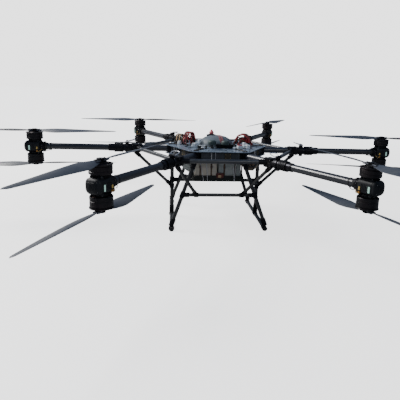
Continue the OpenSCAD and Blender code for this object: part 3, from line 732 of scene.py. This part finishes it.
def motor_bell(k, level):
    """The turning half of a motor: grooved skirt, spoked face under a wide rim, propeller adapter."""
    place = pod_place(k) @ (Matrix() if level == "top" else FLIP)
    top = bell_top(level)
    groove = BELL_LOW + 0.36 * (top - BELL_LOW)
    shape = Shape()
    shape.lathe([(55, BELL_LOW + 1), (55, top - 1), (56, top), (BELL_R - 4, top), (BELL_R - 3, top - 1),
                 (BELL_R - 3, top - 5), (BELL_R, top - 8), (BELL_R, groove + 3), (BELL_R - 1.8, groove + 1.6),
                 (BELL_R - 1.8, groove - 1.6), (BELL_R, groove - 3), (BELL_R, BELL_LOW + 2),
                 (BELL_R - 1.5, BELL_LOW), (56, BELL_LOW)], 0, place, 64, closed=True)
    face = place @ shift(z=top)
    shape.lathe([(50, 1), (51, -0.5), (RIM_R - 1, -0.5), (RIM_R, 0.8), (RIM_R, 4.4), (RIM_R - 1.2, 5.8),
                 (54, 5.8), (52, 4.6), (50, 4.6)], 0, face, 64, closed=True)
    shape.lathe([(8, -3), (33, -3), (36, -1), (36, 4), (34, 5.6), (30, 5.6), (30, PROP_SEAT - 1),
                 (29, PROP_SEAT), (8, PROP_SEAT)], 0, face, 64)
    for turn in around(place, 12):
        shape.box(20, 6, top - 2.5, top + 3.6, 1.5, 0.8, 0, turn @ shift(43.5))
        shape.box(3.2, 3, BELL_LOW + 3, groove - 5, 1, 0.5, 0, turn @ spin(15) @ shift(BELL_R - 1.1))
    for turn in around(place, 24):
        shape.box(2.4, 5, groove + 6, top - 11, 0.8, 0.4, 0, turn @ shift(BELL_R - 1))
    for turn in around(place, 6, 15):
        shape.screw(turn @ shift(57.5, 0, top + 5.7), 4.4, 2, 1)
    shape.disc(6, 51, top - 2, 0.5, 1, place, 24)
    shape.make(f"motor_bell_{level}_{ARMS[k]}", "bell steel", [f"bell_{level}_{ARMS[k]}"],
               f"rotor_{level}_{ARMS[k]}")


POD_W = 98
POD_H = 84
POD_REAR = -46
POD_FRONT = 60
LIGHT_X = 31


def pod_shell(shape, place):
    """The moulded body: a rounded box along the arm with a stepped, bulging end cap."""
    sections = ((POD_REAR, -12, -12, 18), (POD_REAR + 1, -5, -5, 21), (POD_REAR + 4, 0, 0, 23),
                (44, 0, 0, 23), (45, -2.6, -2.6, 22), (48, -2.6, -2.6, 22), (49, 0, 0, 24),
                (POD_FRONT - 3, 0, 0, 26), (POD_FRONT + 1, -4, -5, 26), (POD_FRONT + 5, -10, -12, 26),
                (POD_FRONT + 9, -19, -21, 24), (POD_FRONT + 12, -30, -31, 22),
                (POD_FRONT + 12.8, -40, -38, 18), (POD_FRONT + 15, -42, -40, 17),
                (POD_FRONT + 16, -47, -45, 15))
    rings = []
    for x, dw, dh, r in sections:
        rings.append([(x, y, z) for y, z, _ in rounded_rect(POD_W + dw, POD_H + dh, r, 0, 7)])
    shape.loft(rings, 0, place)


def pod_cap_details(shape, place):
    """Screws and plain cooling bars on the end cap."""
    face = place @ shift(POD_FRONT + 9) @ spin(90, "Y")
    shape.screws(face, (-24, 24), (-32, 32), -3.4, 7, 4, 2)
    cap = place @ shift(POD_FRONT + 15.6) @ spin(90, "Y")
    for i in range(4):
        shape.box(26, 3, -1, 1.4, 1.4, 0.5, 0, cap @ shift(0, -12 + 8 * i))


def pod_lights(shape, place):
    """A bezel and a ribbed lens on each side."""
    for s in (-1, 1):
        side = place @ shift(LIGHT_X, s * (POD_W / 2 - 1.5), -7) @ spin(-90 * s, "X")
        shape.box(18, 42, 0, 2.6, 4, 0.8, 0, side)
        shape.box(11.5, 35, 1, 3.8, 3, 1.2, 3, side)
        shape.screws(side, (-15,), (-18, 18), 0.6, 4.5, 1.8, 2)


def pod_vents(shape, place):
    """Raised cooling ribs along both sides, screws on the top and bottom."""
    for s in (-1, 1):
        side = place @ shift(0, s * (POD_W / 2 - 1)) @ spin(-90 * s, "X")
        for i in range(4):
            shape.box(4, 40, 0, 3, 1.5, 0.6, 0, side @ shift(-20 + 9 * i))
        deck = place @ (Matrix() if s > 0 else FLIP)
        for x, y in ((-37, 30), (52, 24)):
            shape.screws(deck, (x,), (-y, y), POD_H / 2 - 1.6, 6.5, 3.5, 2)


def motor_base(shape, place, level):
    """The fixed half of a motor: finned neck, plate and copper windings."""
    top = bell_top(level)
    shape.lathe([(30, PAD_Z - 9), (44, PAD_Z - 9), (45, PAD_Z - 8), (45, PAD_Z), (43, PAD_Z + 1),
                 (43, PAD_Z + 7), (30, PAD_Z + 7.2), (30, PAD_Z + 10), (8, PAD_Z + 10)], 1, place)
    for turn in around(place, 28):
        shape.box(5, 2.6, PAD_Z - 8, PAD_Z + 6, 1, 0.5, 1, turn @ shift(45.4))
    for turn in around(place, 4, 45):
        shape.box(13, 17, 38, PAD_Z - 1.5, 5, 1, 0, turn @ shift(47))
        shape.screw(turn @ shift(48, 0, PAD_Z - 2), 7, 4.5, 2)
    for turn in around(place, 18):
        shape.box(15, 12, 68, top - 8, 4, 2.5, 4, turn @ shift(42))
    shape.ring(8, 34, 61, top - 7, 0.8, 1, place)


def pod_collar(shape, place):
    """The split clamp that grips the arm tube, with its bolts."""
    along = place @ spin(-90, "Y")
    shape.lathe([(25.2, 44), (36, 44), (37, 45), (37, 52), (35, 54), (35, 68), (37, 70), (37, 78),
                 (35, 80), (25.2, 80)], 1, along, 48, closed=True)
    for s in (-1, 1):
        shape.box(30, 9, -44, -32, 3, 1.2, 1, place @ shift(-62, s * 6.5))
        shape.box(26, 20, -18, 18, 5, 2, 1, place @ shift(-60, s * 31))
        shape.screws(place @ shift(-60) @ spin(-90 * s, "X"), (0,), (-11, 11), 40.6, 6, 3, 2)
        shape.screw(place @ shift(-62, s * 11, -38.5) @ spin(-90 * s, "X"), 7, 4, 2)


def pod_leads(shape, place):
    """Signal lead plugs at the inboard end of the body and the loops that run from them."""
    for s in (-1, 1):
        block = place @ shift(-27, s * 49, -17)
        shape.box(11, 9, -14, 17, 2.5, 1, 6, block)
        shape.box(11, 11, -21, -6, 2, 1, 5, block)
        shape.box(15, 6, -8, -1, 2, 1, 1, block @ shift(0, s * 3.4))
        for i, dx in enumerate((-4, 1, 6)):
            path = smooth_path([(-31 + dx, s * 49, -34), (-35 + dx, s * (51 + i), -38),
                                (-46 + dx, s * 47, -36), (-56, s * 40, -27 + 2 * i), (-60, s * 34, -17)])
            shape.tube(path, 1.9, (7, 6, 8)[i], place, 8)


def motor_pod(k):
    place = pod_place(k)
    shape = Shape()
    pod_shell(shape, place)
    pod_cap_details(shape, place)
    pod_lights(shape, place)
    pod_vents(shape, place)
    motor_base(shape, place, "top")
    motor_base(shape, place @ FLIP, "bottom")
    pod_collar(shape, place)
    pod_leads(shape, place)
    shape.make(f"pod_{ARMS[k]}", "pod black steel lens copper orange plug_yellow wire_black tape",
               [f"motor_pod_{ARMS[k]}"], f"arm_{ARMS[k]}")


# ---- Hub ----

APOTHEM = max((Vector(v.co[:2]).dot(Vector((0, -1))) for v in frame["nodes"]["top_plate"].data.vertices)) / MM
GAP_HALF = PLATE_TOP - 4


def hub_side(k):
    """Recessed panel between the plates: upright ribs, rails, screws and two pale standoffs."""
    shape = Shape()
    side = spin(ARM_STEP * (k + 0.5))
    face = side @ shift(APOTHEM - 24) @ spin(90, "Y") @ spin(90, "Z")
    shape.box(290, 2 * GAP_HALF - 4, -3, 0, 3, 0.8, 0, face)
    for z in (-1, 1):
        shape.box(286, 6, 0, 5, 2, 0.8, 1, face @ shift(0, z * (GAP_HALF - 6)))
    for i in range(23):
        x = -132 + 12 * i
        if i not in (14, 15, 16, 17):
            shape.box(4, 2 * GAP_HALF - 18, 0, 4.2 + 1.2 * (i % 2), 1.4, 0.6, 0, face @ shift(x))
    shape.box(50, 2 * GAP_HALF - 16, 0, 5, 4, 1, 3, face @ shift(54))
    shape.screws(face, (38, 71), (-13, 13), 5, 6, 3, 4)
    for x, r in ((-70, 2.6), (-40, 1.5)):
        rail = side @ shift(APOTHEM - 9, x)
        shape.disc(r, -GAP_HALF, GAP_HALF, 0.5, 2, rail, 24)
        for z in (-GAP_HALF, GAP_HALF - 3):
            shape.disc(r + 1.8, z, z + 3, 0.4, 5, rail, 24)
    shape.make(f"hub_side_{k}", "panel black silver olive brass steel")


def battery_pack(x, y, wrap, name):
    """The wrapped pack on the x and y side of the bay: pillowed film, end cap, two straps and its leads."""
    low, high = box("battery_packs")
    tall = high.z - low.z
    side = high.x - 4
    place = shift(x * (high.x + 4) / 2, y * (high.y + 4) / 2, low.z)
    shape = Shape()
    rings = []
    profile = ((0, -14, 8), (0.02, -5, 11), (0.08, -1.5, 13), (0.2, 0, 14), (0.34, -1.6, 13), (0.5, 0, 14),
               (0.66, -1.6, 13), (0.8, 0, 14), (0.92, -1.5, 13), (0.98, -6, 11), (1.0, -16, 8))
    for share, inset, r in profile:
        rings.append(rounded_rect(side + inset, side + inset, r, share * tall, 6))
    shape.loft(rings, 0, place)
    shape.box(120, 84, tall - 1, tall + 7, 8, 2, 1, place)
    for s in (-1, 1):
        wrap_turn = place @ shift(s * 44, 0, tall / 2) @ spin(90, "Y")
        shape.band(tall + 1.5, side + 1.5, 10, 1.6, 12, 2, wrap_turn)
        shape.box(16, 22, 0, 5, 3, 1.2, 2, place @ shift(s * 44, -side / 2, tall * 0.7) @ spin(90, "X"))
    for s, paint in ((-1, 4), (1, 5)):
        path = smooth_path([(s * 14, 0, tall + 4), (s * 15, 2 * y, tall + 18), (s * 16, 6 * y, tall + 27)])
        shape.tube(path, 4.5, paint, place)
    shape.make(name, f"{wrap} tray strap_brown grey wire_red wire_black", ["battery_packs"])


def bay_details():
    """Under the hub: distribution box between the packs, screws on the tray posts and tie rods."""
    low, high = box("battery_tray")
    edge = -low.y
    shape = Shape()
    case = shift(18, -edge + 1, low.z + 50) @ spin(90, "X")
    shape.box(56, 38, -6, 10, 4, 2, 0, case)
    shape.box(24, 18, 9, 13, 3, 1, 1, case @ shift(-4, -6))
    shape.screws(case, (-23, 23), (-14, 14), 9.8, 4.6, 2.2, 2)
    for x in (-1, 1):
        for y in (-1, 0, 1):
            post = shift(x * (edge + 0.6), y * edge * 0.71, 0) @ spin(90 * x, "Y")
            shape.screws(post, [-x * z for z in (low.z + 12, low.z + 30, PLATE_LOW - 14)], (0,), 0.5, 6, 3, 2)
    for x, lean in ((-150, 34), (-96, 14), (112, 18), (146, -12)):
        shape.tube([(x, -edge + 1, PLATE_LOW - 1), (x + lean, -edge - 4, low.z + 30),
                    (x + lean * 1.1, -edge - 4, low.z + 6)], 2.4, 4, Matrix(), 8)
        shape.disc(3.2, -3, 3, 0.6, 2, shift(x + lean, -edge - 4, low.z + 30) @ spin(90, "X"), 16)
    # metal frame rails in front of the gap between the packs
    for z, wide in ((PLATE_LOW - 20, 120), (PLATE_LOW - 38, 110)):
        shape.box(wide, 8, -2, 2, 2, 0.8, 3, shift(56, -edge + 4, z) @ spin(90, "X"))
    shape.make("bay_fittings", "box_red wire_tan steel grey silver")


def cable_bundle(name, points, count, r, seed, tones):
    """Cables that run together, with a tie every so often."""
    dice = random.Random(seed)
    shape = Shape()
    for i in range(count):
        turn = 2 * pi * i / count
        off = Vector((0, cos(turn), sin(turn))) * r * 1.25 * (1 if i else 0)
        wander = [Vector(p) + off + Vector([dice.uniform(-2.2, 2.2) for _ in range(3)]) for p in points]
        shape.tube(smooth_path(wander, 7), r, i % len(tones.split()), sides=8)
    spine = smooth_path(points, 7)
    for i in range(5, len(spine) - 4, 8):
        way = spine[i + 1] - spine[i - 1]
        tie = Matrix.Translation(spine[i]) @ way.to_track_quat("Z", "Y").to_matrix().to_4x4()
        shape.ring(2.1 * r, 2.1 * r + 3, -4, 4, 0.8, len(tones.split()), tie, 24)
    shape.make(name, tones + " rubber")


def hub_cables():
    brown = "tape wire_olive wire_tan wire_olive wire_black"
    cable_bundle("cables_right", [(176, -246, -52), (192, -262, -76), (222, -262, -98), (262, -248, -106),
                                  (300, -216, -88), (330, -150, -50)], 11, 8.6, 3, brown)
    cable_bundle("cables_right_rear", [(186, -226, -48), (200, -240, -66), (236, -240, -74), (276, -216, -72),
                                       (318, -120, -48)], 9, 8, 5, brown)
    cable_bundle("cables_left", [(-150, -236, -46), (-196, -244, -64), (-236, -214, -76), (-268, -176, -60),
                                 (-300, -140, -44)], 6, 5, 8, "wire_black grey")


def side_bag():
    """A soft wedge-shaped pouch of spare leads, hung under the left front of the hub."""
    shape = Shape()
    rings = []
    for share, w, d in ((0, 24, 12), (0.06, 54, 30), (0.3, 92, 46), (0.6, 122, 58), (0.85, 138, 60),
                        (0.96, 132, 52), (1, 116, 36)):
        lean = -50 * (1 - share)
        rings.append([(x - lean, y, z) for x, y, z in rounded_rect(w, d, 16, -146 + 102 * share, 6)])
    shape.loft(rings, 0, shift(-262, -236, 0))
    shape.band(112, 64, 18, 2, 22, 1, shift(-262 + 8, -236, -66))
    shape.box(26, 16, -46, -PLATE_TOP, 3, 1, 2, shift(-262, -236))
    shape.make("lead_pouch", "cloth strap_black grey")


COVER = box("avionics_cover")
COVER_R = COVER[1].x


def cover_shell():
    """The avionics cover: a flanged, low, soft-cornered lid with vents, screws and two red straps."""
    r = COVER_R
    tall = COVER[1].z - COVER[0].z
    shape = Shape()
    rings = []
    profile = ((0, 0, 3), (0.045, 0, 3), (0.05, -12, 2.8), (0.2, -15, 2.7), (0.42, -22, 2.6),
               (0.62, -38, 2.5), (0.78, -62, 2.4), (0.9, -90, 2.3), (0.97, -122, 2.2), (0.985, -132, 2.2),
               (0.985, -140, 2.2), (0.96, -142, 2.2), (0.96, -150, 2.2))
    n = 72
    for share, inset, power in profile:
        ring = []
        for i in range(n):
            turn = 2 * pi * i / n
            c, s = cos(turn), sin(turn)
            reach = (r + inset / 2 * 1.55) / (abs(c) ** power + abs(s) ** power) ** (1 / power)
            reach = min(reach, r * 1.04)
            ring.append((reach * c, reach * s, share * tall))
        rings.append(ring)
    shape.loft(rings, 0, shift(z=PLATE_TOP))
    for turn in around(shift(z=PLATE_TOP + 0.045 * tall), 8, 22.5):
        shape.screw(turn @ shift(r * 0.965), 6, 3, 1)
    for i in range(7):
        shape.box(3, 26, 0, 2, 1.2, 0.5, 1, shift(-18 + 6 * i, 86, PLATE_TOP + 0.66 * tall) @ spin(-38, "X"))
    for x in (16, 34):
        front = [(x + 46 * (1 - share) ** 2, -(r + 0.775 * inset + 2), share * tall + 2)
                 for share, inset, _ in profile if share < 0.98]
        path = [(x - 10, r * 0.5, tall * 0.95), (x, 0, tall + 2)] + front[::-1]
        shape.strap(smooth_path(path, 3), 13, 2, (1, 0, 0), 2, shift(z=PLATE_TOP))
    shape.make("cover_lid", "cover steel strap_red", ["avionics_cover"])


RECEIVER_R = 31


def avionics():
    """Two satellite receivers on stems, and the flight controller with its plugs under the lid."""
    low, high = box("avionics_units")
    r = RECEIVER_R
    shape = Shape()
    for s in (-1, 1):
        stand = shift(s * (high.x - r), low.y + r, PLATE_TOP)
        shape.disc(17, 0, 4, 1, 1, stand)
        for turn in around(stand, 3, 30):
            shape.screw(turn @ shift(12.4, 0, 4), 4.2, 2, 2)
        shape.disc(5, 3, 32, 0.5, 1, stand, 24)
        shape.lathe([(r - 6, 29), (r - 1, 30), (r, 33), (r, 42), (r - 0.8, 42.6), (r - 0.8, 44), (r, 44.8),
                     (r - 0.6, 51), (r - 4, 57), (r - 11, 61.5), (r - 22, 63.4)], 0, stand, 48)
        path = smooth_path([(0, 20, 35), (2, 33, 31), (s * 8, 40, 18), (s * 14, 46, 5), (s * 26, 60, 3)])
        shape.tube(path, 2.2, 3, stand, 8)
    shape.box(96, 64, PLATE_TOP, PLATE_TOP + 22, 6, 1.5, 1)
    shape.box(138, 30, PLATE_TOP, PLATE_TOP + 30, 6, 2, 1, shift(52, low.y + 52))
    shape.box(60, 22, PLATE_TOP + 29, PLATE_TOP + 40, 4, 2, 1, shift(66, low.y + 54))
    shape.box(60, 44, PLATE_TOP + 21, PLATE_TOP + 27, 4, 1, 0)
    for i in range(8):
        shape.box(7, 6, PLATE_TOP + 3, PLATE_TOP + 12, 1, 0.5, 4, shift(-35 + 10 * i, -34))
    shape.make("avionics", "receiver black steel wire_black nylon", ["avionics_units"])


def radio_mast():
    """The short radio mast behind the lid, with a soft red cap."""
    shape = Shape()
    stand = shift(-24, 186, PLATE_TOP)
    shape.disc(26, 0, 5, 1, 0, stand)
    for turn in around(stand, 4, 45):
        shape.screw(turn @ shift(20, 0, 5), 5, 2.6, 1)
    shape.lathe([(13, 4), (12, 8), (8, 12), (8, 42), (10, 46), (40, 50), (43, 54), (42, 62), (26, 68),
                 (14, 70)], 0, stand)
    shape.lathe([(12, 68), (18, 71), (20.5, 78), (19, 87), (13, 94), (9, 97), (9, 103), (7, 106), (3, 107.5)],
                2, stand)
    path = smooth_path([(-9, 0, 40), (-24, 4, 34), (-30, -2, 18), (-44, -16, 4), (-60, -30, 3)])
    shape.tube(path, 3, 3, stand, 10)
    shape.make("radio_mast", "black steel wire_pink wire_black")


def lead_loops(name, x, y_mid, turn, seed, tones, stretch=(1, 1, 1)):
    """Thick battery leads in the first two of three tones, arching between two rows of plugs, with thin
    balance leads among them."""
    dice = random.Random(seed)
    tray, nylon = 3, 4
    place = shift(x, y_mid, PLATE_TOP) @ spin(turn) @ Matrix.Diagonal((*stretch, 1))
    shape = Shape()
    for i in range(-2, 3):
        y = 17 * i
        for s in (-1, 1):
            plug = place @ shift(s * 44, y)
            shape.box(20, 15.4, 0, 13, 2, 0.8, tray, plug)
            shape.box(17, 13, 12.5, 24, 2.4, 1, nylon, plug)
            shape.box(21, 5, 3, 10, 1.5, 0.8, tray, plug)
            shape.ring(5, 7.4, 23, 42 + dice.uniform(-4, 6), 0.6, tray, plug, 20)
        bend = [(44, y, 22), (45, y, 50)]
        for a in (25, 55, 90, 125, 155):
            grow = dice.uniform(-5, 3)
            bend.append(((44 + grow) * cos(radians(a)), y + dice.uniform(-7, 7) * sin(radians(a)),
                         66 + (44 + grow) * sin(radians(a))))
        bend += [(-45, y, 50), (-44, y, 22)]
        shape.tube(smooth_path(bend, 7), 6.2, (i + 2) % 2, place, 12)
    for i in range(14):
        y = dice.uniform(-34, 34)
        lift = dice.uniform(34, 66)
        side = dice.choice((-1, 1))
        bend = [(side * 50, y, 6), (side * (56 + dice.uniform(0, 8)), y + dice.uniform(-9, 9), lift * 0.6),
                (side * dice.uniform(20, 40), y + dice.uniform(-16, 16), lift + 16),
                (-side * dice.uniform(0, 16), y + dice.uniform(-20, 20), lift + dice.uniform(-4, 14)),
                (-side * dice.uniform(24, 40), y + dice.uniform(-20, 20), 8)]
        shape.tube(smooth_path(bend, 7), 2.8, dice.randrange(3), place, 8)
    shape.make(name, f"{tones} tray nylon", ["power_leads"])


def plate_clutter():
    """Cable runs, a fuse block, tie mounts and lead plugs on the top plate."""
    dice = random.Random(11)
    shape = Shape()
    z = PLATE_TOP
    for k in range(len(ARMS)):
        root = spin(ARM_STEP * k)
        for i, y in enumerate((-6, 0, 6)):
            path = smooth_path([(392, y, z + 3), (340, y + dice.uniform(-2, 2), z + 3.4),
                                (290, y + dice.uniform(-4, 4), z + 6), (252, y * 1.6, z + 3)])
            shape.tube(path, 2.8, 0 if i != 1 else 1, root, 8)
        for x in (370, 318, 272):
            shape.box(7, 26, z, z + 7.6, 2, 1, 2, root @ shift(x))
        shape.box(26, 26, z, z + 15, 3, 1.4, 3, root @ shift(246))
    shape.box(74, 30, z, z + 20, 4, 2, 2, shift(-130, -196))
    shape.box(50, 16, z + 19, z + 24, 3, 1, 3, shift(-130, -196))
    shape.box(44, 34, z, z + 26, 5, 2, 3, shift(168, -190) @ spin(14))
    shape.box(34, 24, z + 25, z + 31, 3, 1, 4, shift(168, -190) @ spin(14))
    shape.box(52, 26, z, z + 18, 4, 2, 2, shift(120, 206) @ spin(-12))
    shape.box(46, 30, z + 20, z + 58, 7, 3, 4, shift(252, -40) @ spin(24))
    shape.box(34, 22, z, z + 22, 4, 2, 2, shift(252, -40) @ spin(24))
    for x, y, tall in ((212, -128, 40), (234, -146, 30), (206, -160, 24)):
        shape.box(26, 22, z, z + tall, 5, 2.5, 3, shift(x, y) @ spin(tall))
    for x, y, turn in ((-178, -118, 20), (-196, -160, -8), (226, -112, 30), (232, -196, -14), (-304, -16, 60),
                       (172, 40, 4)):
        plug = shift(x, y) @ spin(turn)
        shape.box(34, 26, z, z + 17, 3, 1.5, 3, plug)
        shape.box(28, 20, z + 16, z + 30, 4, 2, 3, plug @ shift(2, 1))
        for i in (-1, 1):
            path = [(10 * i, 8, z + 14), (12 * i, 20, z + 20), (16 * i, 34, z + 12), (20 * i, 50, z + 4)]
            shape.tube(smooth_path(path), 3.2, 0 if i < 0 else 1, plug, 8)
    shape.make("plate_wiring", "wire_black tape tray nylon plug_red")


# ---- Joints, ring and landing gear ----

def joint_details():
    """Pinch bolts and clamp seams on the fixed blocks, and the bail over each hinge pin."""
    shape = Shape()
    for k in range(len(ARMS)):
        place = arm_place(k)
        for face in (0, 90, 180, 270):
            side = place @ shift(654) @ spin(face, "X")
            shape.screws(side, (-24, 24), (-22, 22), 31.8, 8, 4, 0)
            shape.box(60, 2.4, 31, 33.2, 1, 0.6, 1, side)
        pin = place @ shift(FOLD_R, 0, FOLD_Z)
        bail = smooth_path([(2, -25, 2), (-30, -28, 10), (-56, -26, 19), (-62, 0, 21), (-56, 26, 19),
                            (-30, 28, 10), (2, 25, 2)])
        shape.tube(bail, 3.6, 2, pin, 10)
        for s in (-1, 1):
            shape.screw(pin @ spin(-90 * s, "X") @ shift(0, 0, 21.9), 13, 4, 0)
            shape.screws(place @ shift(650) @ spin(s * 120), (62, 76), (0,), 19, 6.5, 3.6, 0)
    shape.make("joint_bolts", "steel rubber silver")


def gear_bolts():
    """Clamp screws on the tees and saddles, reflective bands by the skid ends, cable ties on legs."""
    shape = Shape()
    low, high = box("skid_tubes")
    x = high.x - 16
    z = (low.z + high.z) / 2
    y_end = high.y
    along_y = spin(90, "X")
    for sx in (-1, 1):
        for sy in (-1, 1):
            tip = shift(sx * x, sy * (y_end - 9), z) @ along_y
            shape.ring(15.9, 16.8, -5, 5, 0.2, 1, tip)
        for sy in (-365, 0, 365):
            for face in (-90, 90):
                shape.screws(shift(sx * x, sy, z) @ spin(face, "Y"), (0,), (-17, 17), 19.6, 6.5, 3.6, 0)
        for height in (-120, -170, -410, -470):
            shape.ring(14.9, 17, -3, 3, 0.5, 2, shift(sx * x, 0, height), 32)
            shape.box(6, 5, -4, 4, 1, 0.5, 2, shift(sx * (x + 18), 0, height))
    shape.make("gear_fittings", "steel grey rubber")


def arm_dressing(k):
    """On the moving arm: barrel end ring, cable tie, rubber sleeve and the leads into the pod."""
    place = arm_place(k) @ spin(90, "Y")
    shape = Shape()
    shape.ring(24.9, 29, BARREL_END + 0.5, BARREL_END + 8, 1.6, 0, place)
    shape.ring(24.9, 27, REACH - 124, REACH - 118, 0.6, 1, place)
    shape.box(8, 6, REACH - 125, REACH - 117, 1, 0.6, 1, place @ shift(28))
    shape.ring(24.9, 28.4, REACH - 96, REACH - 80.2, 1.4, 1, place)
    for s in (-1, 1):
        path = [(REACH - 121, s * 8, -27), (REACH - 104, s * 20, -30), (REACH - 84, s * 34, -30),
                (REACH - 66, s * 42, -27)]
        shape.tube(smooth_path(path), 2.4, 2, arm_place(k), 8)
    shape.make(f"arm_dressing_{ARMS[k]}", "black rubber wire_black", body=f"arm_{ARMS[k]}")


# ---- Stage ----

def make_floor():
    side = 60
    mesh = bpy.data.meshes.new("floor")
    mesh.from_pydata([(x * side, y * side, CAD_LOW.z) for x, y in ((-1, -1), (1, -1), (1, 1), (-1, 1))],
                     [], [(0, 1, 2, 3)])
    mesh.materials.append(floor_paint("floor_paint"))
    show("floor", mesh)


def area_light(name, azimuth, elevation, distance, size, power, tone=(1, 1, 1)):
    data = bpy.data.lights.new(name, "AREA")
    data.shape = "RECTANGLE"
    data.size, data.size_y = size
    data.energy = power
    data.color = tone
    light = show(name, data)
    a, e = radians(azimuth), radians(elevation)
    out = Vector((cos(a) * cos(e), sin(a) * cos(e), sin(e)))
    light.location = distance * out + LIFT
    light.rotation_euler = (-out).to_track_quat("-Z", "Y").to_euler()


def make_light():
    """A white backdrop for the camera; for the object a dim cool room, a strong key light and a weak fill."""
    sky = Paint("pale_room", "worlds", "Background")
    height = sky.split(sky.node("ShaderNodeTexCoord").outputs["Generated"])[2]
    air = sky.mix(height, (170, 190, 220), (100, 170, 300))
    seen = sky.node("ShaderNodeLightPath").outputs["Is Camera Ray"]
    world = sky.set(Color=sky.mix(seen, air, WHITE), Strength=sky.spread(seen, 0, 1, 1, BACKDROP))
    bpy.context.scene.world = world
    area_light("key", 160, 40, 6.5, (2.8, 1.8), 700, (1.0, 0.98, 0.95))
    area_light("fill", -75, 30, 7.0, (3.0, 2.0), 55)


def make_camera():
    """The view of the picture: near eye height, a little left of the centre line."""
    data = bpy.data.cameras.new("camera")
    data.sensor_width = 36
    data.lens = 36.07
    data.shift_x = -0.0446
    data.shift_y = -0.0651
    data.clip_start, data.clip_end = 0.05, 300
    camera = show("camera", data)
    yaw, pitch, roll = 6.634, 12.292, 2.087
    eye = Matrix.Translation(Vector((-0.3583, -3.2794, 0.5079)) + LIFT)
    camera.matrix_world = eye @ spin(-yaw) @ spin(90 - pitch, "X") @ spin(roll)
    bpy.context.scene.camera = camera


dress_frame()
for side_number in range(len(ARMS)):
    hub_side(side_number)
for pack_x, pack_wrap, pack_side in ((-1, "wrap_pale", "left"), (1, "wrap_grey", "right")):
    battery_pack(pack_x, -1, pack_wrap, f"pack_front_{pack_side}")
    battery_pack(pack_x, 1, pack_wrap, f"pack_rear_{pack_side}")
bay_details()
hub_cables()
side_bag()
cover_shell()
avionics()
radio_mast()
lead_loops("leads_left", -222, -30, 25, 2, "wire_red wire_black wire_pink", (0.78, 0.86, 0.96))
lead_loops("leads_far_left", -296, 44, 55, 6, "wire_black wire_tan wire_black", (0.72, 0.8, 0.72))
lead_loops("leads_right", 218, -30, -16, 4, "wire_red tape plug_red", (1.2, 1, 0.86))
plate_clutter()
joint_details()
gear_bolts()
for arm_number in range(len(ARMS)):
    arm_dressing(arm_number)
    motor_pod(arm_number)
    for arm_level in ("top", "bottom"):
        motor_bell(arm_number, arm_level)
        propeller(arm_number, arm_level)
make_floor()
make_light()
make_camera()
